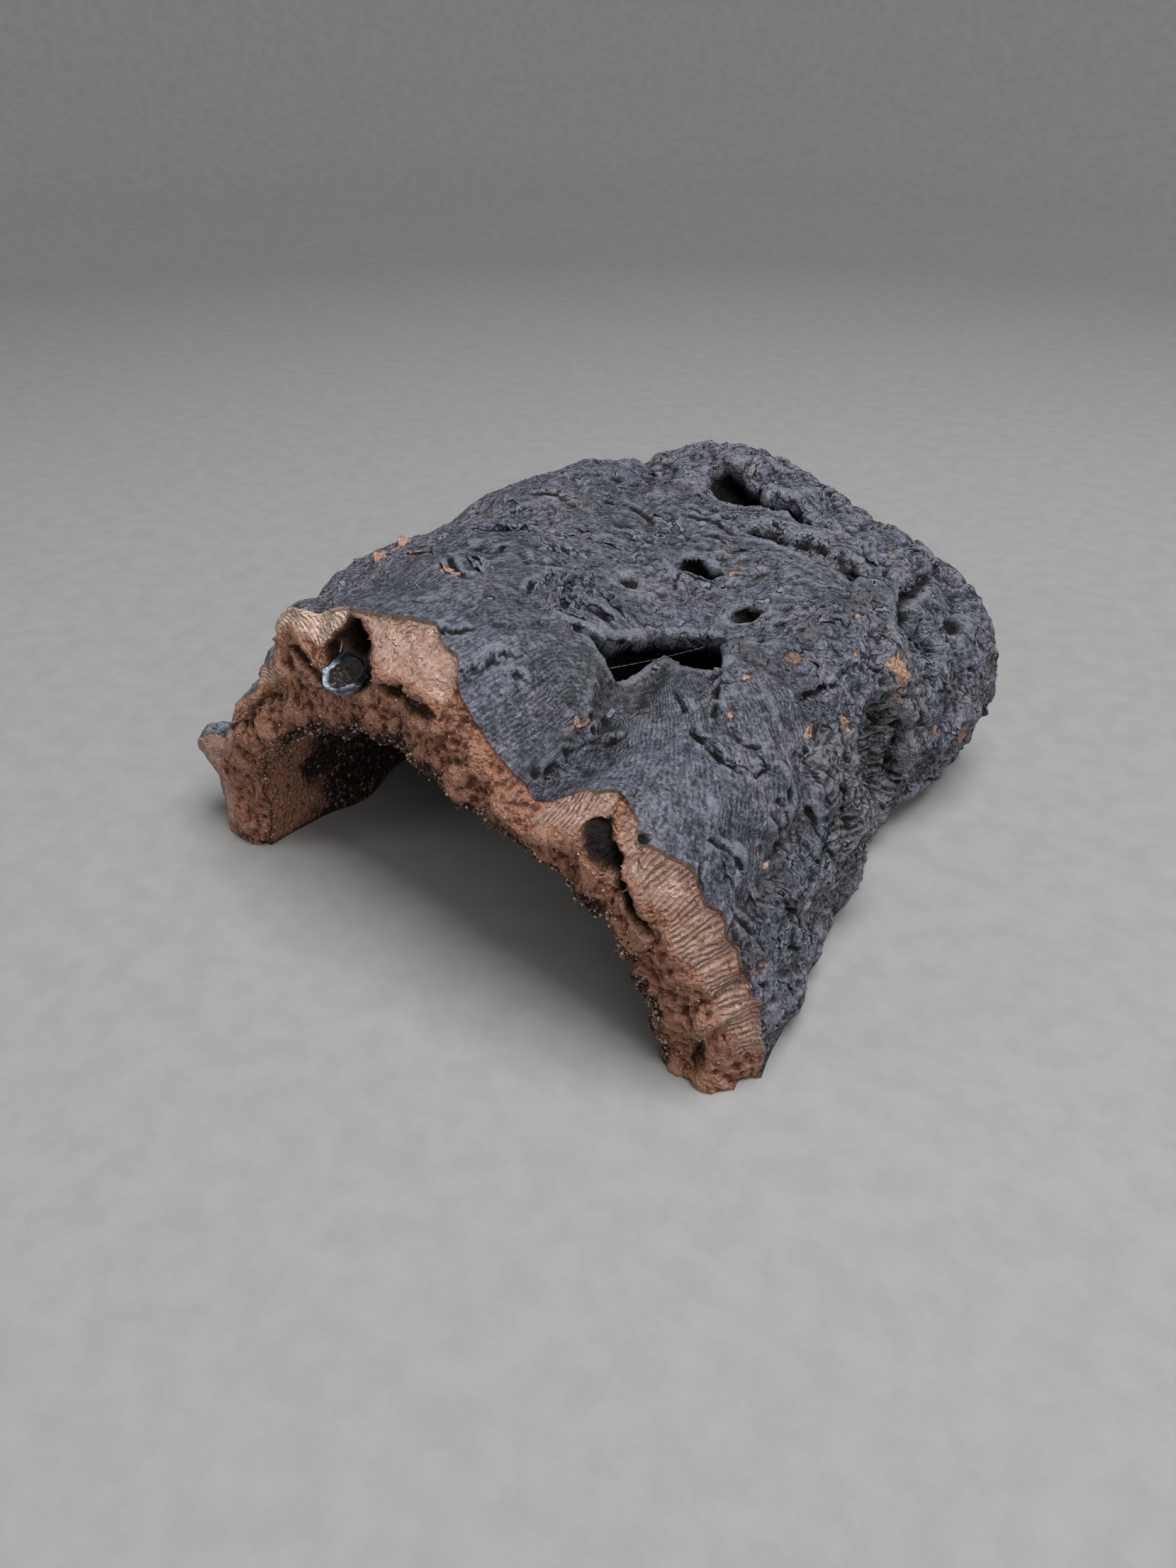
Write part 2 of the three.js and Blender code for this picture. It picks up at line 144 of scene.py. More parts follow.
def nearest_on_path(path, run, y):
    """Distance, side (1 on the left), share of the path, and the direction across it."""
    path = np.array(path, float)
    distance = np.full(run.shape, np.inf)
    side = np.ones(run.shape)
    share = np.zeros(run.shape)
    across = np.zeros(run.shape + (2,))
    for n, (start, end) in enumerate(zip(path[:-1], path[1:])):
        da, dy = end - start
        f = np.clip(((run - start[0]) * da + (y - start[1]) * dy) / (da * da + dy * dy), 0, 1)
        away = np.hypot(run - start[0] - f * da, y - start[1] - f * dy)
        nearer = away < distance
        turn = da * (y - start[1]) - dy * (run - start[0])
        distance = np.where(nearer, away, distance)
        side = np.where(nearer, np.where(turn >= 0, 1.0, -1.0), side)
        share = np.where(nearer, (n + f) / (len(path) - 1), share)
        across[nearer] = np.array([-dy, da]) / math.hypot(da, dy)
    return distance, side, share, across


def is_inside(outline, run, y):
    inside = np.zeros(run.shape, bool)
    for (a0, y0), (a1, y1) in zip(outline, outline[1:] + outline[:1]):
        if y0 != y1:
            crosses = ((y0 > y) != (y1 > y)) & (run < (a1 - a0) * (y - y0) / (y1 - y0) + a0)
            inside ^= crosses
    return inside


def sink(outline, rim, run, y):
    """Share from 0 on the outline and outside it to 1 further in than the rim."""
    edge = nearest_on_path(outline + outline[:1], run, y)[0]
    return np.where(is_inside(outline, run, y), smooth(edge / rim), 0.0)


print("random heights:", noise(np.array([0.5, 1.5]), 0.5, 1).round(3))

# %% [markdown]
# The slab is a smooth arch first. It could be sculpted, or cut from a pipe, but no trunk is that
# regular. It is lofted instead through six sections, each a curve through thirteen places round
# the arch, once for the skin and once for the belly. These are the same places that the CAD
# model uses, so the fine surface lies on the solid that it stands for.

# %% The arch through the sections
ARCH_RUN = 282.0
MIDDLE = np.array([-8.6, 79.48, 0.0])  # middle of the piece in the frame of the sections
FOOT_BLEND = 22.0
NEAR_BEVEL = 0.42
STATION_Y = np.array([0, 30, 60, 95, 130, 165], float)
COLUMN_RUN = np.array([0, 25, 52, 82, 108, 132, 152, 170, 184, 200, 220, 250, 282], float)
SKIN_SECTIONS = np.array([
    [(-97, 0), (-94, 20), (-77, 42), (-61, 60), (-47, 75), (-22, 81), (0, 75), (16, 61), (27, 54),
     (42, 60), (60, 53), (78, 30), (84, 0)],
    [(-95, 0), (-96, 23), (-87, 47), (-69, 70), (-49, 80), (-24, 82), (-2, 76), (14, 65), (26, 59),
     (42, 62), (60, 56), (74, 32), (78, 0)],
    [(-91, 0), (-94, 26), (-86, 50), (-67, 72), (-46, 82), (-24, 81), (-4, 76), (12, 67), (24, 63),
     (40, 66), (58, 62), (71, 34), (73, 0)],
    [(-88, 0), (-93, 26), (-85, 51), (-67, 75), (-46, 85), (-24, 82), (-4, 78), (12, 74), (26, 72),
     (40, 71), (55, 65), (69, 38), (67, 0)],
    [(-86, 0), (-91, 26), (-84, 52), (-65, 73), (-45, 83), (-22, 83), (-2, 80), (14, 77), (28, 73),
     (42, 68), (56, 58), (72, 35), (68, 0)],
    [(-84, 0), (-88, 26), (-80, 49), (-63, 66), (-42, 75), (-20, 83), (-2, 80), (13, 74), (26, 69),
     (41, 65), (57, 56), (74, 34), (70, 0)],
], float)
BELLY_SECTIONS = np.array([
    [(-73, 0), (-72, 20), (-65, 34), (-48, 45), (-34, 51), (-20, 53), (-4, 51), (13, 48), (28, 44),
     (42, 38), (52, 29), (58, 14), (62, 0)],
    [(-69, 0), (-70, 22), (-64, 38), (-50, 50), (-34, 58), (-20, 58), (-4, 54), (12, 48), (24, 44),
     (37, 42), (47, 32), (53, 16), (56, 0)],
    [(-68, 0), (-69, 22), (-63, 40), (-50, 54), (-34, 62), (-18, 62), (-4, 57), (10, 50), (22, 47),
     (36, 46), (46, 34), (52, 16), (54, 0)],
    [(-67, 0), (-68, 22), (-62, 40), (-49, 54), (-33, 62), (-17, 62), (-2, 59), (12, 55), (24, 53),
     (37, 49), (47, 36), (52, 18), (52, 0)],
    [(-66, 0), (-67, 22), (-60, 40), (-48, 54), (-32, 61), (-16, 63), (0, 62), (14, 60), (27, 57),
     (38, 50), (48, 36), (54, 18), (54, 0)],
    [(-66, 0), (-67, 22), (-60, 40), (-47, 54), (-31, 61), (-15, 64), (0, 63), (14, 60), (28, 56),
     (40, 50), (50, 36), (56, 18), (55, 0)],
], float)
NEAR_SKIN_EDGE = [(0, 3), (25, 3), (52, 7), (82, 8), (100, 9), (115, 9), (128, 8), (137, 12),
                  (148, 8), (155, 0), (169, -2), (182, 0), (190, 4), (200, 5), (212, -1), (230, 1),
                  (245, 2), (262, 3), (282, 4)]
NEAR_BELLY_EDGE = [(0, -1), (25, -1), (52, 0), (82, 2), (108, 1), (132, 0), (152, -3), (170, -5),
                   (184, -6), (200, -7), (220, -7), (250, -6), (282, -4)]
FAR_SKIN_EDGE = [(0, 158), (40, 162), (82, 160), (108, 156), (128, 160), (150, 164), (180, 161),
                 (215, 165), (245, 163), (282, 158)]
FAR_BELLY_EDGE = [(0, 160), (52, 163), (108, 163), (152, 160), (200, 163), (250, 162), (282, 160)]
LEFT_FOOT_LIFT = [(-12, 0), (32, 0), (44, 3), (80, 4.5), (112, 3), (124, 0), (170, 0)]
RIGHT_FOOT_LIFT = [(-12, 0), (18, 0), (28, 2.5), (44, 2), (54, 0), (76, 0), (90, 4), (120, 6),
                   (150, 5), (170, 4)]


def padded(table, axis):
    """One more row at each end, so that the curves run on straight."""
    table = np.moveaxis(table, axis, 0)
    rows = [2 * table[:1] - table[1:2], table, 2 * table[-1:] - table[-2:-1]]
    return np.moveaxis(np.concatenate(rows), 0, axis)


def spline(knots, place):
    """Number of the knot before each place, and the weights of the four knots round it."""
    t = np.interp(place, knots, np.arange(len(knots)))
    i = np.clip(np.floor(t).astype(int), 0, len(knots) - 2)
    f = t - i
    return i, (-0.5 * f + f * f - 0.5 * f ** 3, 1 - 2.5 * f * f + 1.5 * f ** 3,
               0.5 * f + 2 * f * f - 1.5 * f ** 3, -0.5 * f * f + 0.5 * f ** 3)


def arch(sections, run, y):
    """A point of the smooth arch for each run and y."""
    run, y = np.broadcast_arrays(np.asarray(run, float), np.asarray(y, float))
    table = padded(padded(sections, 0), 1)
    row, row_weights = spline(STATION_Y, y)
    column, column_weights = spline(COLUMN_RUN, run)
    points = np.zeros(run.shape + (3,))
    for m in range(4):
        for n in range(4):
            weight = (row_weights[m] * column_weights[n])[..., None]
            points[..., [0, 2]] += weight * table[row + m, column + n]
    points[..., 1] = y
    return points


def unit(vectors):
    return vectors / np.linalg.norm(vectors, axis=-1, keepdims=True)


def arch_frame(sections, run, y):
    """Directions round the arch, along it and out of it."""
    after = arch(sections, np.minimum(run + 1, ARCH_RUN), y)
    before = arch(sections, np.maximum(run - 1, 0), y)
    turned = unit(after - before)
    length = unit(arch(sections, run, y + 1) - arch(sections, run, y - 1))
    return turned, length, unit(np.cross(turned, length))


crown = arch(SKIN_SECTIONS, 132.0, 0.0)
print("crown of the near section:", crown.round(1))

# %% [markdown]
# On the arch lie the forms that a hand would feel: soft swellings, the lip and the dark slot under
# it in the middle, the cave near the far end, the layered recess on the right. Each could be a
# sculpted stroke. They are short lists here, in run and y, so that one can be moved without
# touching the rest. A pocket's floor is shifted as well as sunk, and so its rim overhangs it.

# %% Swellings, flakes and pockets of the skin
SWELLINGS = [  # run, y, half width, half length, turn in degrees, height
    (92, 6, 13, 15, 0, 5), (126, 128, 10, 12, 20, -3), (146, 152, 24, 8, -8, 2),
    (182, 148, 18, 7, 10, 1.5), (157, 128, 16, 9, 0, -2), (184, 104, 22, 9, 6, 1),
    (183, 121, 20, 4, 8, -3), (134, 62, 14, 8, 25, 1), (122, 46, 12, 7, 30, -1.5),
    (160, 30, 16, 20, 10, 1.5), (178, 44, 9, 20, 0, -3), (182, 16, 8, 18, 0, -1.5),
    (206, 58, 13, 20, 0, 1.5), (216, 88, 12, 12, 0, 1), (210, 20, 16, 22, 0, 1),
    (238, 58, 10, 13, 0, 2.5), (262, 66, 17, 12, 0, 3.5), (276, 30, 14, 20, 0, 1),
    (212, 146, 18, 12, 0, 2), (226, 124, 12, 10, 0, -2.5), (240, 148, 13, 12, 0, 1.5),
    (262, 138, 16, 11, 0, 1.5), (232, 108, 11, 9, 0, 1.5), (27, 6, 8, 8, 0, 8),
    (40, 60, 20, 24, 20, 3), (20, 110, 18, 20, 0, 2), (62, 124, 18, 16, 0, 2.5),
    (70, 84, 16, 12, 0, -4), (48, 30, 14, 12, 0, -3), (84, 50, 14, 14, 0, 1.5),
    (30, 148, 14, 12, 0, -3), (100, 142, 16, 13, 0, -6), (112, 136, 9, 9, 0, -5),
    (100, 72, 14, 10, 0, -2),
]
POCKETS = {  # outline, width of the rim, depth, shift of the floor round and along
    "slot": ([(157, 41), (162, 43), (166, 43), (170, 42), (174, 44), (176, 51), (177, 57),
              (178, 60), (182, 60), (188, 58), (194, 55), (199, 53), (198, 59), (190, 71),
              (184, 73), (176, 69), (172, 65), (169, 60), (167, 55), (165, 50), (162, 47)],
             2, 14, (-3, 7)),
    "cave": ([(142, 128), (137, 138), (139, 145), (147, 145), (153, 142), (161, 138), (170, 138),
              (182, 141), (176, 134), (167, 131), (158, 131), (150, 127)], 3, 9, (0, 8)),
    "fissure": ([(163, 114), (174, 119), (186, 121), (200, 128), (204, 117), (192, 114),
                 (176, 114)], 2.5, 5, (0, 3)),
    "left_pit": ([(157, 87), (166, 94), (175, 94), (173, 88), (164, 85)], 2.5, 6, (0, 4)),
    "right_pit": ([(184, 79), (189, 86), (195, 85), (193, 78), (187, 76)], 2.5, 6, (2, 3)),
    "recess": ([(238, 76), (234, 88), (238, 102), (250, 110), (268, 108), (280, 98), (280, 84),
                (264, 80), (250, 73)], 7, 8, (0, 2)),
    "hollow": ([(216, 120), (224, 132), (238, 136), (240, 126), (228, 117)], 5, 3, (0, 2)),
    "left_hollow": ([(52, 96), (62, 106), (78, 104), (76, 94), (62, 90)], 4, 5, (0, 3)),
}
FLAKES = [  # path with the raised side on its left, height, reach, overhang
    ([(157, 42), (162, 46), (165, 49), (167, 54), (169, 59), (172, 64), (176, 68), (183, 72),
      (193, 72)], 2, 11, 3.5),
    ([(135, 138), (138, 146), (147, 146), (153, 142), (161, 138), (170, 138), (186, 142)],
     1.5, 9, 2),
    ([(191, 70), (197, 58), (202, 48), (207, 34)], 2.4, 12, 1),
    ([(162, 115), (174, 120), (188, 122), (204, 128)], 1, 8, 1.5),
]


def knottiness(run, y):
    """How far the skin is knotty instead of smooth: the right wall, the far end, the left wall."""
    return np.maximum.reduce([smooth((run - 205) / 30), smooth((y - 118) / 25),
                              smooth((100 - run) / 40)])


def swelling(run, y, run0, y0, half_run, half_length, turn, rise):
    c, s = math.cos(math.radians(turn)), math.sin(math.radians(turn))
    p = (run - run0) * c + (y - y0) * s
    q = (y - y0) * c - (run - run0) * s
    reach = 1 - (p / half_run) ** 2 - (q / half_length) ** 2
    return np.where(reach > 0, rise * smooth(reach), 0.0)


def skin_relief(run, y):
    """Height out of the arch, and shifts round it and along it."""
    knotty = knottiness(run, y)
    height = 1.1 * noise(run / 15, y / 19, 1) + (0.5 + 0.8 * knotty) * noise(run / 7, y / 8, 2)
    height += knotty * 2.4 * (0.3 - np.abs(noise(run / 11, y / 12, 3)))
    turned, length = np.zeros(run.shape), np.zeros(run.shape)
    for form in SWELLINGS:
        height += swelling(run, y, *form)
    for path, rise, reach, hang in FLAKES:
        distance, side, share, across = nearest_on_path(path, run, y)
        ends = smooth(5 * share) * smooth(5 * (1 - share))
        raised = side > 0
        fall = np.where(raised, np.exp(-(distance / reach) ** 2), smooth(1 - distance / 2.5))
        height += rise * ends * fall
        lean = hang * ends * np.where(raised, np.exp(-(distance / 5) ** 2), fall)
        turned -= across[..., 0] * lean
        length -= across[..., 1] * lean
    for outline, rim, depth, shift in POCKETS.values():
        sunk = sink(outline, rim, run, y)
        height -= depth * sunk
        turned += shift[0] * sunk ** 2
        length += shift[1] * sunk ** 2
    return height, turned, length


def lift_foot(points, run):
    """Raises what is near the ground by the foot's height there."""
    y = points[..., 1]
    lift = np.where(run < ARCH_RUN / 2, along(LEFT_FOOT_LIFT, y), along(RIGHT_FOOT_LIFT, y))
    edge = (run == 0) | (run == ARCH_RUN)
    raised = points[..., 2] + lift * np.maximum(0, 1 - points[..., 2] / FOOT_BLEND)
    points[..., 2] = np.where(edge, lift, np.maximum(0.2, raised))
    return points


def skin_base(run, share):
    near = along(NEAR_SKIN_EDGE, run) + 1.2 * noise(run / 4, 0, 7)
    far = along(FAR_SKIN_EDGE, run) + 2 * noise(run / 8, 0, 8)
    y = mix(near, far, share)
    turned, length, out = arch_frame(SKIN_SECTIONS, run, y)
    height, shift_turned, shift_length = skin_relief(run, y)
    height *= smooth(np.minimum(run, ARCH_RUN - run) / 6 + 0.4)
    points = arch(SKIN_SECTIONS, run, y) + out * height[..., None]
    points += turned * shift_turned[..., None] + length * shift_length[..., None]
    return lift_foot(points, run), y


def belly_base(run, share):
    near = along(NEAR_BELLY_EDGE, run) + 1.5 * noise(run / 6, 0, 9)
    far = along(FAR_BELLY_EDGE, run) + 2 * noise(run / 8, 0, 10)
    y = mix(near, far, share)
    height = 1.3 * noise(run / 13, y / 17, 11) + 0.8 * noise(run / 6, y / 7, 12)
    out = arch_frame(BELLY_SECTIONS, run, y)[2]
    return lift_foot(arch(BELLY_SECTIONS, run, y) - out * height[..., None], run), y


# %% [markdown]
# The fine grid is finer where the eye is: by the near break and over the crown. Even steps would
# be simpler, and would waste half the points on the far walls.

# %% The grid of the skin and the belly
RUN_STEPS = 296
LENGTH_STEPS = 190
WALL_STEPS = 28
NEAR_SHARE = 0.62  # share of the steps along the trunk that the nearer half takes

run_line = np.interp(np.linspace(0, 1, RUN_STEPS + 1), [0, 0.3, 0.82, 1], [0, 96, 238, ARCH_RUN])
share_line = np.interp(np.linspace(0, 1, LENGTH_STEPS + 1), [0, NEAR_SHARE, 1], [0, 0.5, 1])
RUN, SHARE = np.meshgrid(run_line, share_line, indexing="ij")
skin, SKIN_Y = skin_base(RUN, SHARE)
belly, BELLY_Y = belly_base(RUN, SHARE)
print("skin grid:", skin.shape, "box in mm:", (skin.min((0, 1)) - MIDDLE).round(1),
      (skin.max((0, 1)) - MIDDLE).round(1))

# %% [markdown]
# Cork grows in yearly layers, and where the skin splits they show as fine lines, about a
# millimetre apart, that run round each lobe like contour lines. A wood texture would make them
# too straight. Here a value in mm rises across the lines, a different one for each lobe, and is
# kept on every vertex, so that the materials later can rule their lines by it.

# %% The field that the growth lines follow
LINE_GAP = 1.05  # mm between two growth lines
LAYER_GAP = 2.3  # mm between the open layers of the right wall
LAYERED_PLACES = [  # outline and rim of the places where the layers lie open
    ([(228, 48), (226, 66), (236, 80), (262, 78), (270, 60), (252, 46)], 6),
    ([(234, 78), (232, 104), (250, 116), (278, 108), (280, 80), (258, 76)], 6),
]


def growth(run, y, height):
    """Mm across the lines and along them, how plainly they show, and where thick layers open."""
    u = run - (171 + 0.1 * y)
    left = np.hypot(np.where(u < 0, -u, 2.5 * u), 0.8 * np.maximum(0, y - 22))
    fan = 55 * np.arctan2(run - 167, 77 - y)
    flap = y - 0.6 * (run - 150)
    plain = run - 0.3 * y - 0.003 * y * y
    on_left = smooth((run - 108) / 10) * smooth((181 - run) / 4) * smooth((66 - y) / 8)
    on_fan = smooth((run - 177) / 4) * smooth((254 - run) / 14) * smooth((66 - y) / 8)
    on_flap = smooth((run - 122) / 10) * smooth((214 - run) / 8) * smooth((y - 60) / 6)
    on_flap *= smooth((122 - y) / 8)
    on_plain = np.maximum(0.02, 1 - on_left - on_fan - on_flap)
    weights = np.stack([on_left, on_fan, on_flap, on_plain])
    total = weights.sum(0)
    line = (weights * np.stack([left, fan, flap, plain])).sum(0) / total
    strides = np.stack([35 * np.arctan2(0.8 * np.maximum(0, y - 22), np.abs(u) + 4) + 0.7 * y,
                        np.hypot(run - 167, 77 - y), run + 0.6 * y, y + 0.3 * run])
    stride = (weights * strides).sum(0) / total
    pure = smooth((weights.max(0) / total - 0.8) / 0.15)
    shown = pure * (0.28 + 0.72 * (on_left + on_fan) + 0.3 * on_flap)
    layered = np.zeros(run.shape)
    for outline, rim in LAYERED_PLACES:
        layered = np.maximum(layered, sink(outline, rim, run, y))
    wobble = 1.6 * noise(run / 14, y / 16, 31) + 0.5 * noise(run / 5, y / 7, 32)
    layers = (height + 2.5 * wobble) * LINE_GAP / LAYER_GAP
    line = np.where(layered > 0.5, layers, line + wobble * 0.6)
    return line, stride, shown, layered


LINE, STRIDE, SHOWN, LAYERED = growth(RUN, SKIN_Y, skin[..., 2])
print("growth lines across the skin:", int(np.ptp(LINE) / LINE_GAP))

# %% [markdown]
# Then come the marks that make this piece itself: cracks, pits, worn spots where the orange cork
# shows, and scales of skin that lift at their edges. A crack could be painted, but a painted one
# goes flat in side light. Each is cut in the mesh as a groove, and beside it is kept how dark the
# painted shade in it is.

# %% Cracks, pits and worn spots
CRACKS = [  # path in run and y, depth in mm, half width in mm
    ([(113, 59), (117, 61), (121, 65), (126, 70), (131, 69), (137, 70)], 1.6, 1.0),
    ([(135, 63), (139, 65), (142, 64)], 1.2, 0.8),
    ([(119, 49), (123, 51), (126, 52), (129, 56)], 1.2, 0.8),
    ([(122, 41), (126, 37), (131, 34), (134, 35)], 1.4, 0.9),
    ([(140, 77), (143, 81), (150, 80)], 1.4, 0.9),
    ([(149, 39), (151, 46), (153, 50), (156, 52), (160, 53), (163, 52)], 2.0, 1.0),
    ([(157, 41), (160, 43), (164, 50), (168, 54), (172, 58)], 2.0, 1.0),
    ([(144, 40), (143, 48), (145, 58), (149, 62)], 1.6, 0.9),
    ([(178, 33), (182, 36), (187, 38)], 1.6, 0.9),
    ([(190, 46), (194, 42), (198, 38)], 1.4, 0.8),
    ([(200, 34), (205, 31), (212, 29), (219, 31)], 1.8, 0.9),
    ([(211, 37), (215, 37), (218, 39)], 1.2, 0.7),
    ([(175, 16), (176, 22), (177, 29)], 1.0, 0.8),
    ([(178, 2), (178, 14), (179, 26), (180, 34)], 1.2, 0.9),
    ([(238, 6), (244, 7), (251, 10)], 1.6, 0.9),
    ([(222, 10), (228, 14), (236, 15)], 1.2, 0.7),
    ([(228, 30), (236, 34), (246, 33)], 1.6, 0.9),
    ([(246, 22), (254, 27), (264, 27)], 1.4, 0.8),
    ([(207, 35), (203, 45), (198, 56), (192, 66), (186, 74)], 1.6, 1.0),
    ([(198, 78), (206, 86), (212, 98)], 1.4, 0.8),
    ([(150, 108), (158, 112), (166, 111)], 1.2, 0.8),
    ([(128, 96), (136, 100), (147, 99)], 1.2, 0.8),
    ([(112, 84), (118, 90), (128, 88)], 1.2, 0.8),
    ([(218, 60), (224, 72), (226, 86)], 1.6, 0.9),
    ([(244, 84), (246, 94), (243, 104)], 2.6, 1.2),
    ([(236, 54), (244, 60), (256, 62)], 1.6, 1.0),
    ([(150, 6), (154, 12), (155, 20)], 0.8, 0.6),
    ([(156, 14), (158, 17), (161, 18)], 1.0, 0.8), ([(157, 19), (159, 16), (162, 14)], 0.8, 0.7),
    ([(163, 117), (171, 118), (180, 122), (188, 125), (195, 126), (204, 127)], 4.5, 2.0),
    ([(157, 134), (166, 134), (172, 136), (178, 139), (185, 142)], 4.0, 1.7),
    ([(214, 154), (215, 140), (216, 130), (219, 123)], 4.0, 2.2),
    ([(268, 103), (260, 104), (254, 105), (247, 104)], 4.5, 1.4),
    ([(232, 74), (236, 69), (238, 63), (241, 59)], 2.0, 1.0),
]
PITS = [  # run, y, half width, depth
    (165, 91, 3.0, 3.0), (157, 71, 2.6, 3.0), (152, 52, 1.6, 2.2), (188, 82, 2.6, 2.5),
    (124, 110, 2.0, 2.0), (176, 4, 1.5, 1.6), (212, -1, 1.8, 2.0), (232, 40, 1.8, 1.8),
    (240, 32, 1.6, 1.6), (262, 8, 1.6, 1.4), (220, 126, 2.4, 2.4), (231, 142, 3.2, 3.0),
    (248, 52, 2.0, 2.0), (107, 13, 1.1, 1.3), (200, 70, 1.5, 1.5), (206, 112, 2.0, 2.0),
]
WORN_SPOTS = [  # run, y, half size along the run and along y, strength
    (111, 38, 3.5, 1.8, 0.9), (127, 34, 3.0, 2.2, 1.0), (211, 70, 3.0, 5.0, 0.9),
    (236, 104, 7.0, 4.0, 1.0), (227, 58, 1.8, 4.0, 0.9), (174, 22, 1.2, 4.5, 0.7),
    (208, 42, 1.6, 4.0, 0.7), (262, 68, 4.0, 3.0, 0.8), (243, 76, 3.0, 3.5, 0.8),
    (266, 142, 5.0, 4.0, 0.9), (232, 12, 1.5, 9.0, 0.5), (240, 28, 1.6, 8.0, 0.5),
    (252, 6, 3.0, 4.0, 0.7), (206, 54, 1.4, 3.5, 0.7), (70, 60, 5.0, 4.0, 0.8),
    (44, 92, 5.0, 3.0, 0.8), (92, 120, 4.0, 4.0, 0.8), (22, 40, 5.0, 4.0, 0.8),
    (212, 92, 2.0, 1.5, 0.8), (224, 89, 1.5, 2.5, 0.8), (235, 74, 3.0, 2.0, 0.9),
    (240, 65, 1.5, 3.5, 0.9), (95, 46, 3.0, 2.5, 0.9), (101, 36, 2.5, 2.0, 0.8),
    (204, 78, 1.0, 5.0, 0.6), (216, 100, 1.2, 4.0, 0.6), (220, 108, 3.0, 1.2, 0.6),
    (243, 128, 1.5, 3.0, 0.7), (256, 120, 3.0, 1.5, 0.7), (232, 132, 1.2, 3.0, 0.6),
]
PALE_BLOOM_SHEEN = [  # run, y, half sizes, strength: a blue white bloom on the skin, partly a painted sheen
    (147, 10, 9, 14, 0.6), (138, 18, 8, 10, 0.4), (156, 6, 5, 12, 0.5), (150, 62, 14, 7, 0.6),
    (196, 20, 9, 18, 0.4), (170, 66, 9, 8, 0.4), (212, 12, 10, 14, 0.3),
]
DULL_GREEN_AND_SHADE = [  # the same for an old, dull green; the first, wide spot is painted shade on the left lobe
    (140, 32, 26, 22, 0.35), (178, 40, 12, 16, 1.0), (168, 34, 9, 10, 0.7),
    (150, 96, 22, 14, 0.6), (200, 118, 24, 12, 0.5), (186, 60, 12, 8, 0.8),
]
SCATTERED_CRACKS = 230
LIP_SHARE = 0.45  # height of a crack's curled lip, as a share of its depth
SCATTERED_PITS = 90
LOBE_RUN = (108, 240)  # the smooth lobes by the near break, in run
LOBE_END = 66  # and how far along they reach, in y


def spots(places, run, y):
    """Soft spots from 0 to 1, each with its own strength."""
    total = np.zeros(run.shape)
    for run0, y0, half_run, half_length, strength in places:
        away = ((run - run0) / half_run) ** 2 + ((y - y0) / half_length) ** 2
        total = np.maximum(total, strength * np.exp(-away))
    return total


def groove(path, half_width, run, y):
    """Share from 1 in a crack to 0 beside it, and the share of the lip that curls up beside it."""
    box_low = np.min(path, axis=0) - 8 * half_width
    box_high = np.max(path, axis=0) + 8 * half_width
    close = (run > box_low[0]) & (run < box_high[0]) & (y > box_low[1]) & (y < box_high[1])
    cut, lip = np.zeros(run.shape), np.zeros(run.shape)
    ragged = noise(run[close] / 1.7, y[close] / 1.7, 28)
    distance, side, share, _ = nearest_on_path(path, run[close] + 0.9 * ragged, y[close])
    ends = smooth(6 * share + 0.15) * smooth(6 * (1 - share) + 0.15)
    cut[close] = np.exp(-(distance / half_width) ** 2) * ends * (0.75 + 0.5 * ragged)
    lip[close] = np.where(side > 0, np.exp(-(distance / (3.5 * half_width)) ** 2), 0.0) * ends
    return np.maximum(cut, 0), lip


def scattered_cracks(rng):
    """Short cracks, mostly where the skin is knotty, leaning as the real ones do."""
    paths = []
    while len(paths) < SCATTERED_CRACKS:
        run0, y0 = rng.uniform(4, 278), rng.uniform(4, 158)
        knotty = knottiness(np.array(run0), np.array(y0))
        if rng.random() > 0.25 + 0.75 * knotty:
            continue
        angle = rng.normal(0.5, 0.7)
        step = rng.uniform(1.6, 4.0)
        path = [(run0, y0)]
        for _ in range(3):
            angle += rng.normal(0, 0.5)
            path.append((path[-1][0] + step * math.cos(angle), path[-1][1] + step * math.sin(angle)))
        paths.append((path, rng.uniform(0.5, 1.5), rng.uniform(0.5, 0.9)))
    return paths


rng = np.random.default_rng(27)
# How dark the painted shade in each crack and pit is: the deeper, the darker.
CRACK_SHADE = np.zeros(RUN.shape)
carve = np.zeros(RUN.shape)
for path, depth, half_width in CRACKS + scattered_cracks(rng):
    cut, lip = groove(path, half_width, RUN, SKIN_Y)
    CRACK_SHADE = np.maximum(CRACK_SHADE, cut * min(1.0, depth / 1.2))
    carve += depth * (LIP_SHARE * lip - cut)
pits = [(*pit, min(0.9, 0.45 * pit[-1])) for pit in PITS]
for _ in range(SCATTERED_PITS):
    run0, y0, half_width = rng.uniform(3, 279), rng.uniform(3, 158), rng.uniform(0.7, 1.4)
    if not (LOBE_RUN[0] < run0 < LOBE_RUN[1] and y0 < LOBE_END):
        pits.append((run0, y0, half_width, half_width, 0.7))
for run0, y0, half_width, depth, darkness in pits:
    cut = np.exp(-(((RUN - run0) ** 2 + (SKIN_Y - y0) ** 2) / half_width ** 2) ** 1.5)
    CRACK_SHADE = np.maximum(CRACK_SHADE, darkness * cut)
    carve -= depth * cut
print("cracks:", len(CRACKS) + SCATTERED_CRACKS, "pits:", len(pits))

# %% Scales, growth ridges and grit of the skin
# How dark the painted shade that fills each pocket is, from its rim to its floor.
POCKET_SHADE_STRENGTH = {"slot": 1.0, "cave": 1.0, "fissure": 0.8, "left_pit": 0.9, "right_pit": 0.9,
               "recess": 0.2, "hollow": 0.2, "left_hollow": 0.25}


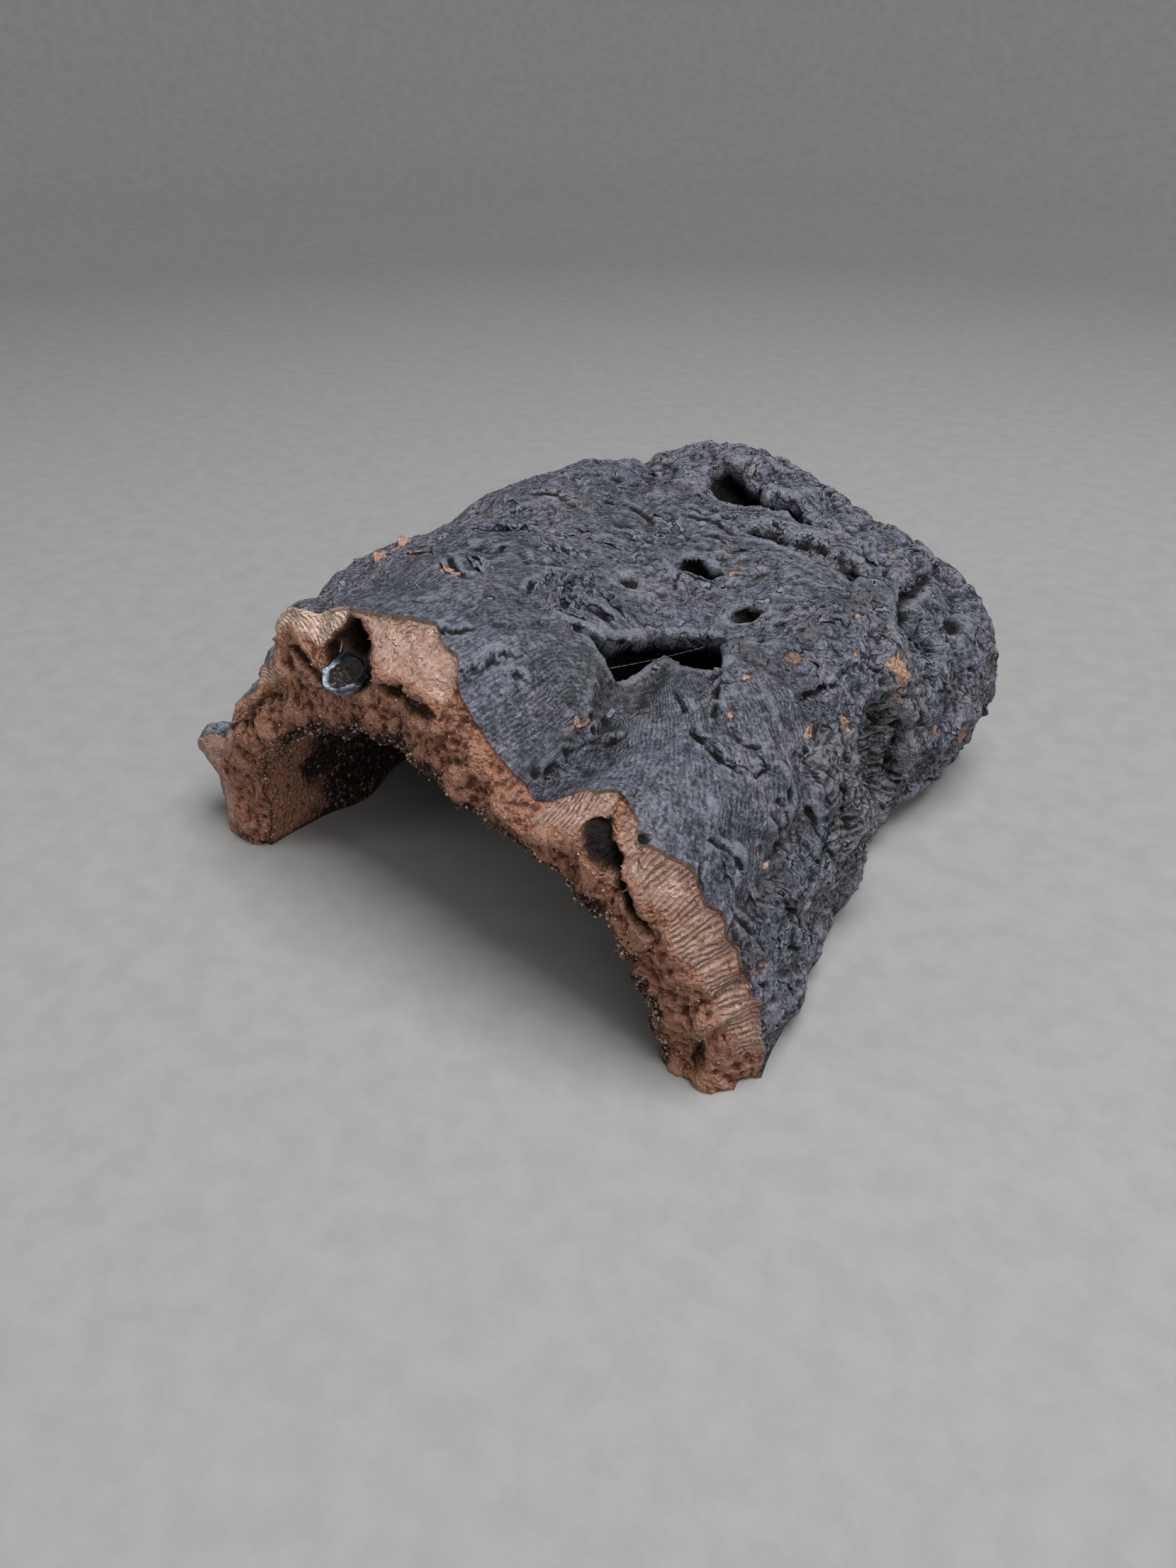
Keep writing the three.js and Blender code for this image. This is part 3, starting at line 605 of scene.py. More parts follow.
def scales(run, y):
    """Overlapping scales: the height falls slowly, then steps up at a sharp edge."""
    level = 2.0 * noise(run / 13, y / 17, 21) + 0.8 * noise(run / 5.5, y / 7, 22)
    level += 0.35 * noise(run / 2.1, y / 2.3, 29)
    part = level - np.floor(level)
    return smooth(part / 0.12) - part


def ridged(points, cell, seed):
    """Sharp crests between rounded hollows, from -1 to 1."""
    return 1 - 2 * np.abs(crumb(points, cell, seed))


def surface_normals(grid):
    """Direction out of a grid of points whose first axis runs round and second along."""
    return unit(np.cross(np.gradient(grid, axis=0), np.gradient(grid, axis=1)))


def crests(grid):
    """Positive on crests and edges, negative in cracks, from each point's neighbours."""
    normals = surface_normals(grid)
    total = np.zeros(grid.shape[:-1])
    for reach, gain in ((1, 2.2), (3, 0.5)):
        for axis in (0, 1):
            wide = np.pad(grid, [(reach * (axis == 0),) * 2, (reach * (axis == 1),) * 2, (0, 0)],
                          mode="reflect", reflect_type="odd")
            count = grid.shape[axis]
            before = np.take(wide, np.arange(count), axis)
            after = np.take(wide, np.arange(count) + 2 * reach, axis)
            total += gain * ((grid - (before + after) / 2) * normals).sum(-1)
    return np.clip(total, -1.5, 1.5)


LOBES = smooth((70 - SKIN_Y) / 14) * smooth((RUN - 108) / 14) * smooth((250 - RUN) / 16)
KNOTTY = knottiness(RUN, SKIN_Y) * (1 - 0.85 * LOBES)
# Painted shade: black in the slot and the cave, lighter in the shallow pockets.
POCKET_SHADE = np.zeros(RUN.shape)
for name, (outline, rim, depth, shift) in POCKETS.items():
    POCKET_SHADE = np.maximum(POCKET_SHADE, POCKET_SHADE_STRENGTH[name] * sink(outline, rim, RUN, SKIN_Y))
WORN = spots(WORN_SPOTS, RUN, SKIN_Y)
BLOOM_SHEEN = spots(PALE_BLOOM_SHEEN, RUN, SKIN_Y)
GREEN_AND_SHADE = spots(DULL_GREEN_AND_SHADE, RUN, SKIN_Y)
fine = carve.copy()
fine += (0.44 - 0.26 * LOBES + 0.35 * KNOTTY) * scales(RUN, SKIN_Y)
fine += 0.28 * SHOWN * noise(LINE / 2.2, STRIDE / 9, 23)
fine += 0.15 * noise(LINE / 1.6, STRIDE / 5, 26)
fine += 0.45 * LAYERED * np.sin(LINE * 2 * math.pi / LINE_GAP)
fine += (0.22 + 0.45 * KNOTTY) * ridged(skin, 7.5, 24)
fine += (0.12 + 0.16 * KNOTTY) * ridged(skin, 3.1, 27) + 0.2 * crumb(skin, 1.5, 25)
far_right = smooth((RUN - 196) / 26) * smooth((SKIN_Y - 84) / 34)
fine += 2.6 * far_right * (ridged(skin, 19, 91) - 0.3)
fine -= 0.5 * (WORN > 0.3) * smooth((WORN - 0.3) / 0.3)
fine *= smooth(np.minimum(RUN, ARCH_RUN - RUN) / 4)
skin += surface_normals(skin) * fine[..., None]
print("fine relief from", fine.min().round(2), "to", fine.max().round(2), "mm")

# %% [markdown]
# The near break is what the eye goes to. Where the cork tore between two layers it left pale,
# nearly flat facets with growth lines across them. Where it tore through the layers it left rusty
# crumbs. The inner rim is a crust of dark grit. One noisy displacement would make it all alike,
# so the break has a map of its own, in the run and the mm inwards from the skin's edge.

# %% The map of the broken end
BREAK_SPAN = 28.0  # mm from the skin's edge to the belly's, near enough
CAVITY_TURN = np.array([-0.35, 0.93, -0.1])  # the way that the gallery runs into the wall
GALLERY_HOLE = (119.6, 7.2, 5.4, 21.0)  # run, inwards, half width, depth
FACETS = [  # outline in run and mm inwards, rim, paleness (above 1 it adds painted light), how plainly the lines show
    ([(117, -1), (137, -1), (150, -1), (153, 3.5), (149, 8.0), (142, 9.4), (134, 10), (129, 7.2),
      (124.5, 3.2), (119, 2.0)], 1.0, 1.0, 0.35),
    ([(84, -1), (119, -1), (119.5, 3), (112, 6), (104, 6), (98, 4), (90, 2.4), (84, 2)],
     0.8, 1.4, 0.75),
    ([(183, -1), (200, -1), (204, 5), (194, 9), (184, 8)], 1.2, 0.95, 0.8),
    ([(203, -1), (236, -1), (262, -1), (276, -1), (272, 5), (262, 7), (250, 8.5), (236, 9.5),
      (224, 9.0), (213, 8.5), (206, 6)], 1.6, 1.0, 1.0),
    ([(56, -1), (84, -1), (82, 6), (72, 8), (60, 6)], 2.0, 0.8, 0.7),
    ([(1, -1), (26, -1), (44, -1), (46, 8), (30, 14), (8, 16), (1, 12)], 3.0, 0.75, 0.6),
    ([(158, -1), (180, -1), (182, 3), (170, 4), (160, 3)], 1.0, 0.4, 0.5),
]
HOLLOWS = {  # outline in run and mm inwards, rim, depth, and darkness of the painted shade
    "cavity": ([(109, 8.5), (112, 5.5), (117, 4.2), (123, 3.0), (128, 6.5), (132.5, 11.5),
                (125, 17), (112, 17.5), (106.5, 12.5)], 1.6, 6.0, 0.8),
    "under facet": ([(132, 11), (142, 10), (150, 8), (154, 7), (151, 13), (143, 16), (134, 15)],
                    2.2, 4.0, 0.75),
    "shadow strip": ([(93, 7), (99, 7), (107, 12), (110, 17), (104, 17), (97, 12)], 1.6, 2.6, 0.7),
    "shaded pocket": ([(196, 6), (203, 4), (208, 7), (214, 9), (222, 12), (228, 15), (222, 16),
                      (213, 14), (206, 13), (200, 11)], 1.4, 4.5, 1.0),
    "foot groove": ([(262, 13), (272, 11), (280, 14), (276, 18), (264, 18)], 2.0, 2.5, 0.6),
    "left step": ([(40, 8), (60, 9), (76, 10), (76, 14), (58, 14), (42, 12)], 2.0, 2.2, 0.45),
}
PATCH_RIDGE_GAP = 4.4  # mm between the ridges of the pale patch left of the gallery
GRIT_FROM = 0.80  # share through the wall where the dark grit starts


def break_map(run, through, points):
    """Paleness (above 1 a painted light), painted shade of the hollows, grit, line value and its
    strength over a broken end.
    """
    inward = through * BREAK_SPAN
    pale, shown = np.zeros(run.shape), np.full(run.shape, 0.15)
    ragged = 1.4 * crumb(points, 5.0, 41) + 0.7 * crumb(points, 2.2, 42)
    for outline, rim, paleness, lines in FACETS:
        cover = sink(outline, rim, run + ragged, inward + 0.8 * ragged)
        pale = np.maximum(pale, paleness * cover)
        shown = np.maximum(shown, lines * cover)
    painted_shade = np.zeros(run.shape)
    for outline, rim, _, darkness in HOLLOWS.values():
        painted_shade = np.maximum(painted_shade, darkness * sink(outline, rim, run + 0.5 * ragged, inward))
    slant = mix(mix(-1.2, 0.7, smooth((run - 112) / 12)), 0.25, smooth((run - 140) / 40))
    line = run + slant * inward + 0.9 * crumb(points, 5.0, 43) + 0.35 * crumb(points, 2.0, 44)
    grit = smooth((through - GRIT_FROM + 0.06 * ragged) / 0.08) * smooth((run - 52) / 12)
    return pale, painted_shade, grit, line, shown


def near_hollows(run, inward):
    """How far the near break is sunk, and the share of it that is the gallery."""
    depth = np.zeros(run.shape)
    for outline, rim, deep, _ in HOLLOWS.values():
        depth = np.maximum(depth, deep * sink(outline, rim, run, inward))
    hole_run, hole_inward, half_width, hole_depth = GALLERY_HOLE
    away = np.hypot(run - hole_run, inward - hole_inward)
    hole = smooth((half_width - away) / 1.4)
    return depth + hole_depth * hole, hole


# %% The belly, and the two breaks between skin and belly
belly_fine = 0.5 * crumb(belly, 4.5, 51) + 0.35 * crumb(belly, 2.4, 52)
belly_fine += 0.5 * smooth((14 - BELLY_Y) / 10) * crumb(belly, 2.0, 53)
belly_fine *= smooth(np.minimum(RUN, ARCH_RUN - RUN) / 6)
belly -= surface_normals(belly) * belly_fine[..., None]
THROUGH = np.linspace(0, 1, WALL_STEPS + 1)


def broken_end(skin_edge, belly_edge, is_near):
    """The grid of a break, from the skin's edge inwards to the belly's, and its colour maps."""
    through = np.broadcast_to(THROUGH, (RUN_STEPS + 1, WALL_STEPS + 1))
    run = np.broadcast_to(run_line[:, None], through.shape)
    points = mix(skin_edge[:, None], belly_edge[:, None], through[..., None])
    slope = smooth(through / NEAR_BEVEL) if is_near else through
    points[..., 1] = mix(skin_edge[:, None, 1], belly_edge[:, None, 1], slope)
    within = smooth(4 * through) * smooth(4 * (1 - through))
    rough = 1.6 * noise(run / 7, through * 3, 13 if is_near else 14)
    pale, painted_shade, grit, line, shown = break_map(run, through, points)
    points[..., 1] += within * (rough * (1 - 0.8 * pale) - 1 if is_near else rough + 1.5)
    edge_fade = smooth(14 * through) * smooth(14 * (1 - through))
    torn = 0.8 * crumb(points, 4.0, 61) + 0.75 * ridged(points, 2.6, 62)
    torn += 0.8 * np.abs(crumb(points * (1, 1, 0.5), 3.0, 63)) + 0.55 * crumb(points, 1.2, 67)
    flat = 0.25 * crumb(points, 5.0, 64) + 0.22 * crumb(points, 1.6, 65)
    height = mix(torn, flat, smooth(pale * 1.4)) * edge_fade
    if is_near:
        patch = sink(FACETS[1][0], 1.5, run, through * BREAK_SPAN) * edge_fade
        height += 0.6 * patch * np.sin(line * 2 * math.pi / PATCH_RIDGE_GAP)
        sunk, hole = near_hollows(run, through * BREAK_SPAN)
        # The mouth of the gallery is painted black as shade.
        painted_shade = np.maximum(painted_shade, hole)
        points -= surface_normals(points) * height[..., None]
        points += CAVITY_TURN * (sunk * edge_fade)[..., None]
    else:
        points += surface_normals(points) * height[..., None]
    crest = crests(points) * (-1 if is_near else 1)
    return points, {"pale": pale, "painted_shade": painted_shade, "grit": grit, "line": line, "shown": shown,
                    "crest": crest}


near_break, near_maps = broken_end(skin[:, 0], belly[:, 0], True)
far_break, far_maps = broken_end(skin[:, -1], belly[:, -1], False)
print("near break from y", near_break[..., 1].min().round(1), "to", near_break[..., 1].max().round(1))


def foot_grid(skin_edge, belly_edge):
    """The underside of a foot: crumbly, and nowhere lower than its edges."""
    through = np.broadcast_to(THROUGH, (LENGTH_STEPS + 1, WALL_STEPS + 1))
    points = mix(skin_edge[:, None], belly_edge[:, None], through[..., None])
    within = smooth(5 * through) * smooth(5 * (1 - through))
    points[..., 2] += within * (0.5 + 0.5 * crumb(points * (1, 1, 0), 3.0, 66))
    return points, {"pale": np.full(through.shape, 0.2), "line": points[..., 1],
                    "shown": np.full(through.shape, 0.3)}


left_foot, left_maps = foot_grid(skin[0], belly[0])
right_foot, right_maps = foot_grid(skin[-1], belly[-1])

# %% [markdown]
# The grids share their border points, so that no seam opens between them. They could be separate
# meshes that merely touch, but then the bark would not be one closed skin. The belly, which is
# mostly in shadow, keeps only every second point.

# %% Join the grids into one closed surface
MAPS = ("line", "stride", "shown", "layered", "cut", "worn", "bloom_sheen", "green_and_shade", "deep", "pale",
        "painted_shade", "grit", "crest")
SKIN_FACE, BREAK_FACE, BELLY_FACE = 0, 1, 2
vertex_blocks = []
map_blocks = {name: [] for name in MAPS}
vertex_total = 0


def add_points(points, maps):
    """Keeps a block of points with its maps, and gives the numbers of its vertices."""
    global vertex_total
    shape = points.shape[:-1]
    count = int(np.prod(shape))
    vertex_blocks.append(points.reshape(-1, 3))
    for name in MAPS:
        values = maps.get(name, np.zeros(shape))
        map_blocks[name].append(np.broadcast_to(values, shape).reshape(-1))
    vertex_total += count
    return np.arange(vertex_total - count, vertex_total).reshape(shape)


def quads(grid, flip=False):
    """Faces of a grid of vertex numbers, turned over where it would face inwards."""
    corners = [grid[:-1, :-1], grid[1:, :-1], grid[1:, 1:], grid[:-1, 1:]]
    if flip:
        corners.reverse()
    return np.stack(corners, -1).reshape(-1, 4).tolist()


def part_of(maps, *index):
    return {name: values[index] for name, values in maps.items()}


skin_maps = {"line": LINE, "stride": STRIDE, "shown": SHOWN, "layered": LAYERED, "cut": CRACK_SHADE,
             "worn": WORN, "bloom_sheen": BLOOM_SHEEN, "green_and_shade": GREEN_AND_SHADE, "deep": POCKET_SHADE,
             "crest": crests(skin), "pale": np.zeros(RUN.shape), "painted_shade": np.zeros(RUN.shape)}
for name in ("pale", "painted_shade"):
    skin_maps[name][:, 0] = near_maps[name][:, 0]
    skin_maps[name][:, -1] = far_maps[name][:, 0]
skin_ids = add_points(skin, skin_maps)


def wall_ids(points, maps, first_column):
    """Numbers of a wall's grid whose first column is already there."""
    rest = add_points(points[:, 1:], part_of(maps, slice(None), slice(1, None)))
    return np.concatenate([first_column[:, None], rest], axis=1)


near_ids = wall_ids(near_break, near_maps, skin_ids[:, 0])
far_ids = wall_ids(far_break, far_maps, skin_ids[:, -1])
foot_ids = []
for points, maps, row in ((left_foot, left_maps, 0), (right_foot, right_maps, -1)):
    inner = wall_ids(points[1:-1], part_of(maps, slice(1, -1)), skin_ids[row, 1:-1])
    foot_ids.append(np.concatenate([near_ids[row][None], inner, far_ids[row][None]]))
left_ids, right_ids = foot_ids

torn_end = smooth((20 + 6 * noise(RUN / 5, BELLY_Y / 5, 54) - BELLY_Y) / 7)
belly_maps = {"pale": smooth((66 - RUN) / 14) * torn_end}
inner = slice(2, -2, 2)
coarse = np.zeros((RUN_STEPS // 2 + 1, LENGTH_STEPS // 2 + 1), int)
coarse[1:-1, 1:-1] = add_points(belly[inner, inner], part_of(belly_maps, inner, inner))
coarse[:, 0], coarse[:, -1] = near_ids[::2, -1], far_ids[::2, -1]
coarse[0], coarse[-1] = left_ids[::2, -1], right_ids[::2, -1]


def belly_faces():
    """Belly faces twice as wide as the rest, with the finer points of the rim in their edges."""
    faces = []
    last_i, last_j = coarse.shape[0] - 2, coarse.shape[1] - 2
    for i in range(last_i + 1):
        for j in range(last_j + 1):
            face = [coarse[i, j]]
            if i == 0:
                face.append(left_ids[2 * j + 1, -1])
            face.append(coarse[i, j + 1])
            if j == last_j:
                face.append(far_ids[2 * i + 1, -1])
            face.append(coarse[i + 1, j + 1])
            if i == last_i:
                face.append(right_ids[2 * j + 1, -1])
            face.append(coarse[i + 1, j])
            if j == 0:
                face.append(near_ids[2 * i + 1, -1])
            faces.append([int(n) for n in face])
    return faces


face_blocks = [
    (quads(skin_ids), SKIN_FACE),
    (quads(near_ids, flip=True) + quads(far_ids), BREAK_FACE),
    (quads(left_ids) + quads(right_ids, flip=True), BREAK_FACE),
    (belly_faces(), BELLY_FACE),
]
all_points = np.concatenate(vertex_blocks) - MIDDLE
all_points = np.clip(all_points * MM, np.array(cad_low), np.array(cad_high))
all_faces = [face for faces, _ in face_blocks for face in faces]
face_kinds = np.concatenate([np.full(len(faces), kind) for faces, kind in face_blocks])
print("bark:", len(all_points), "points,", len(all_faces), "faces")

# %% [markdown]
# The bark is one grown piece, so it is one closed mesh. It could be kept as a height field and a
# Displace modifier, but a height field can't overhang. The points are handed over as they are,
# and the maps go with them as attributes, which the materials read by name.

# %% The bark's mesh
def keep_maps(mesh, maps):
    for name, values in maps.items():
        attribute = mesh.attributes.new(name, "FLOAT", "POINT")
        attribute.data.foreach_set("value", np.asarray(values, np.float32))


def mesh_piece(name, points, faces, materials=()):
    """A smooth shaded mesh object from points in metres."""
    mesh = bpy.data.meshes.new(name)
    mesh.from_pydata([tuple(p) for p in points], [], faces)
    mesh.polygons.foreach_set("use_smooth", [True] * len(mesh.polygons))
    for material in materials:
        mesh.materials.append(material)
    mesh.update()
    piece = bpy.data.objects.new(name, mesh)
    bpy.context.collection.objects.link(piece)
    return piece


bark = mesh_piece("bark", all_points, all_faces)
keep_maps(bark.data, {name: np.concatenate(blocks) for name, blocks in map_blocks.items()})
probe = bmesh.new()
probe.from_mesh(bark.data)
print("open edges on the bark:", sum(len(edge.link_faces) != 2 for edge in probe.edges))
probe.free()

# %% [markdown]
# Every finish here is layers of the same few things: noise at three sizes, ruled growth lines,
# grit, and a painted top light that pales what faces up. Each is a node group, built once, and a
# material sets it with its own sizes. An image texture would be quicker, but it can't be scaled or
# reused.

# %% Helpers for shader nodes
def put(tree, kind, inputs=(), **settings):
    """A new node, with its settings and its inputs set or linked."""
    item = tree.nodes.new(kind)
    for name, value in settings.items():
        setattr(item, name, value)
    for socket, value in dict(inputs).items():
        if isinstance(value, bpy.types.NodeSocket):
            tree.links.new(value, item.inputs[socket])
        else:
            item.inputs[socket].default_value = value
    return item


def calc(operation, tree, a, b=0.0, clamp=False):
    node = put(tree, "ShaderNodeMath", {0: a, 1: b}, operation=operation, use_clamp=clamp)
    return node.outputs[0]


plus, minus, times, over = (partial(calc, name) for name in ("ADD", "SUBTRACT", "MULTIPLY", "DIVIDE"))


def weighted(tree, *rows):
    """The sum of some values, each times its weight."""
    total = 0.0
    for value, weight in rows:
        total = plus(tree, total, times(tree, value, weight))
    return total


def stretch(tree, value, low, high, to_low=0.0, to_high=1.0):
    """A value rescaled from one range to another, and held inside it."""
    node = put(tree, "ShaderNodeMapRange", {0: value, 1: low, 2: high, 3: to_low, 4: to_high},
               interpolation_type="SMOOTHSTEP")
    return node.outputs[0]


def tint(tree, factor, a, b):
    """Colour a turned into colour b by a factor."""
    node = put(tree, "ShaderNodeMix", {0: factor}, data_type="RGBA")
    for socket, colour in ((6, a), (7, b)):
        if isinstance(colour, bpy.types.NodeSocket):
            tree.links.new(colour, node.inputs[socket])
        else:
            node.inputs[socket].default_value = (*colour, 1.0)
    return node.outputs[2]


def layers(tree, colour, *rows):
    """Lays colours over one another, by rows of mask, strength and colour."""
    for mask, strength, laid in rows:
        colour = tint(tree, times(tree, mask, strength), colour, laid)
    return colour


def kept(tree, name):
    """A map that was kept on the mesh."""
    return put(tree, "ShaderNodeAttribute", attribute_name=name).outputs["Fac"]


def new_group(name, inputs, outputs):
    """A node group, what it is given, what it gives, and the place on the piece."""
    tree = bpy.data.node_groups.new(name, "ShaderNodeTree")
    for socket_name, value in inputs.items():
        socket = tree.interface.new_socket(socket_name, in_out="INPUT", socket_type="NodeSocketFloat")
        socket.default_value = value
    for socket_name in outputs:
        tree.interface.new_socket(socket_name, in_out="OUTPUT", socket_type="NodeSocketFloat")
    place = put(tree, "ShaderNodeTexCoord").outputs["Object"]
    given, gives = tree.nodes.new("NodeGroupInput").outputs, tree.nodes.new("NodeGroupOutput").inputs
    return tree, given, gives, place


def give(tree, gives, **values):
    """Links a group's outputs by name."""
    for name, value in values.items():
        tree.links.new(value, gives[name])


def use_group(tree, group, **values):
    """A group placed in a tree, with its inputs set; its outputs are returned."""
    node = tree.nodes.new("ShaderNodeGroup")
    node.node_tree = group
    for name, value in values.items():
        socket = node.inputs[name.replace("_", " ")]
        if isinstance(value, bpy.types.NodeSocket):
            tree.links.new(value, socket)
        else:
            socket.default_value = value
    return node.outputs


# %% [markdown]
# Cork is mottled at many sizes at once. One noise with many octaves would do it in one node, but
# then a material couldn't use its patches and its specks for different things. So the group gives
# three noises, for patches, mottling and specks, in plain millimetres.

# %% The mottling group
def noise_mm(tree, place, size, detail, roughness=0.6):
    """Noise whose cells are so many mm wide."""
    scale = over(tree, 1 / MM, size)
    node = put(tree, "ShaderNodeTexNoise", {"Vector": place, "Scale": scale, "Detail": detail,
                                            "Roughness": roughness})
    return node.outputs["Fac"]


mottling, given, gives, place = new_group(
    "mottling", {"Patch mm": 14.0, "Mottle mm": 2.6, "Speck mm": 0.5},
    ("Patches", "Mottle", "Specks"))
for size_name, output, detail in (("Patch mm", "Patches", 4.0), ("Mottle mm", "Mottle", 4.0),
                                  ("Speck mm", "Specks", 2.0)):
    mottling.links.new(noise_mm(mottling, place, given[size_name], detail), gives[output])

# %% [markdown]
# The growth lines are ruled by the value kept on the mesh. A wave texture would rule them
# straight. A sine of the kept value, pushed about by noise, gives ridges that wander and fade, and
# the deepest part of each wave is the dark groove.

# %% The growth line group
ruled, given, gives, place = new_group(
    "growth lines", {"Line": 0.0, "Gap mm": LINE_GAP, "Waver mm": 0.4}, ("Ridge", "Groove"))
push = minus(ruled, noise_mm(ruled, place, 3.0, 3.0), 0.5)
push = times(ruled, push, times(ruled, given["Waver mm"], 2.0))
phase = over(ruled, plus(ruled, given["Line"], push), given["Gap mm"])
wave = calc("SINE", ruled, times(ruled, phase, 2 * math.pi))
fading = stretch(ruled, noise_mm(ruled, place, 5.0, 2.0), 0.3, 0.6, 0.25, 1.0)
give(ruled, gives, Ridge=times(ruled, plus(ruled, times(ruled, wave, 0.5), 0.5), fading),
     Groove=times(ruled, stretch(ruled, wave, -0.35, -0.95), fading))

# %% [markdown]
# Close up, the skin is a felt of short flecks that lie along the growth lines, some pale and some
# dark. Plain noise would make round specks. The group measures its noise across and along the
# lines instead, with the two values kept on the mesh, and so its specks come out long.

# %% The fleck group
flecks, given, gives, place = new_group(
    "flecks", {"Across": 0.0, "Along": 0.0, "Width mm": 0.35, "Length mm": 1.6},
    ("Felt", "Pale", "Dark"))
felt_place = put(flecks, "ShaderNodeCombineXYZ",
                 {"X": over(flecks, given["Across"], given["Width mm"]),
                  "Y": over(flecks, given["Along"], given["Length mm"])}).outputs[0]
long_felt = put(flecks, "ShaderNodeTexNoise", {"Vector": felt_place, "Scale": 1.0, "Detail": 3.0,
                                               "Roughness": 0.65, "Distortion": 0.6}).outputs["Fac"]
round_felt = noise_mm(flecks, place, 0.55, 3.0)
felt = weighted(flecks, (long_felt, 0.6), (round_felt, 0.4))
give(flecks, gives, Felt=felt, Pale=stretch(flecks, felt, 0.53, 0.66),
     Dark=stretch(flecks, felt, 0.47, 0.36))

# %% [markdown]
# Old skin comes away in thin plates, and each plate ends in a crisp edge, with a painted highlight
# on top and a painted shadow just below it. Cut in the mesh the edges would be as coarse as the
# mesh. The group cuts a smooth noise into steps instead, and gives the edge for the highlight, the
# line below it for the shadow, and the slope of each plate.

# %% The plate group
plates, given, gives, place = new_group(
    "plates", {"Size mm": 9.0, "Steps": 7.0, "Share": 0.5}, ("Height", "Edge", "Line"))
level = times(plates, noise_mm(plates, place, given["Size mm"], 3.0, 0.5), given["Steps"])
part = calc("FRACT", plates, level)
open_here = noise_mm(plates, place, times(plates, given["Size mm"], 0.7), 2.0)
open_here = plus(plates, open_here, times(plates, given["Share"], 0.4))
open_here = stretch(plates, open_here, 0.62, 0.70)
# Edge marks a painted highlight on top of each step, Line a painted shadow just below it.
give(plates, gives, Height=times(plates, part, open_here),
     Edge=times(plates, stretch(plates, part, 0.80, 0.97), open_here),
     Line=times(plates, stretch(plates, part, 0.17, 0.03), open_here))

# %% [markdown]
# Broken cork is crumbs: small rounded cells with shaded gaps, each a little lighter or redder than
# the next. Voronoi cells are made like that. The group gives their height, their gaps, which the
# materials paint dark as shade, and one random value for each.

# %% The crumb group
WARP_SCALE = 900.0  # per metre
WARP_MM = 1.1  # how far the warp pushes the cells about
crumbs, given, gives, place = new_group(
    "crumbs", {"Size mm": 0.9}, ("Height", "Gap", "Chance"))
warp = put(crumbs, "ShaderNodeTexNoise", {"Vector": place, "Scale": WARP_SCALE, "Detail": 2.0})
shifted = put(crumbs, "ShaderNodeVectorMath",
              {0: warp.outputs["Color"], 1: (0.5, 0.5, 0.5)}, operation="SUBTRACT").outputs[0]
shifted = put(crumbs, "ShaderNodeVectorMath", {0: shifted, "Scale": WARP_MM * MM},
              operation="SCALE").outputs[0]
shifted = put(crumbs, "ShaderNodeVectorMath", {0: place, 1: shifted}, operation="ADD").outputs[0]
cells = put(crumbs, "ShaderNodeTexVoronoi",
            {"Vector": shifted, "Scale": over(crumbs, 1 / MM, given["Size mm"])})
give(crumbs, gives, Height=stretch(crumbs, cells.outputs["Distance"], 0.7, 0.05),
     Gap=stretch(crumbs, cells.outputs["Distance"], 0.38, 0.62),
     Chance=put(crumbs, "ShaderNodeSeparateColor", {0: cells.outputs["Color"]}).outputs[0])

# %% [markdown]
# A painted top light pales what faces up and leaves what faces down. The group reads the
# surface's own direction, never the camera's, so it stays put from every side.

# %% The top light group
top_light, given, gives, place = new_group("top_light", {"Amount": 0.5, "Grain mm": 1.2}, ("Mask",))
normal = put(top_light, "ShaderNodeNewGeometry").outputs["Normal"]
upward = put(top_light, "ShaderNodeSeparateXYZ", {0: normal}).outputs["Z"]
lit_top = times(top_light, stretch(top_light, upward, 0.1, 0.95),
               stretch(top_light, noise_mm(top_light, place, given["Grain mm"], 5.0), 0.42, 0.72))
give(top_light, gives, Mask=times(top_light, lit_top, given["Amount"], clamp=True))
print("groups:", [group.name for group in bpy.data.node_groups])

# %% [markdown]
# The weathered skin is slate grey, with paler specks, dark grooves and, where a scale broke off,
# the orange cork. It could be one ramp over one noise. It is built up in layers instead, in the
# order in which the weather laid them, so that each can be set by itself.

# %% The weathered skin
SLATE_DARK = (0.028, 0.027, 0.033)
SLATE = (0.165, 0.186, 0.256)
SLATE_WARM = (0.225, 0.218, 0.256)
SLATE_PALE = (0.43, 0.45, 0.53)
BLOOM_SHEEN_BLUE = (0.24, 0.29, 0.39)
MOSS_AND_SHADE_GREY = (0.050, 0.052, 0.048)
LAYER_BROWN = (0.085, 0.066, 0.060)
EDGE_HIGHLIGHT = (0.36, 0.28, 0.26)
SHADE_BLACK = (0.008, 0.007, 0.008)
CORK_ORANGE = (0.42, 0.19, 0.11)
CORK_PALE = (0.66, 0.44, 0.34)


def new_material(name):
    material = bpy.data.materials.new(name)
    material.use_nodes = True
    tree = material.node_tree
    shader = tree.nodes["Principled BSDF"]
    shader.inputs["Specular IOR Level"].default_value = 0.25
    return material, tree, shader


def finish_material(tree, shader, colour, roughness, height, reach_mm):
    """Links the colour, the roughness and a bump whose height is in units of reach_mm."""
    tree.links.new(colour, shader.inputs["Base Color"])
    tree.links.new(roughness, shader.inputs["Roughness"])
    bump = put(tree, "ShaderNodeBump", {"Height": height, "Strength": 1.0, "Distance": reach_mm * MM})
    tree.links.new(bump.outputs["Normal"], shader.inputs["Normal"])


weathered, tree, shader = new_material("weathered skin")
mottle = use_group(tree, mottling, Patch_mm=13.0, Mottle_mm=2.4, Speck_mm=0.8)
ruling = use_group(tree, ruled, Line=kept(tree, "line"), Gap_mm=LINE_GAP, Waver_mm=1.0)
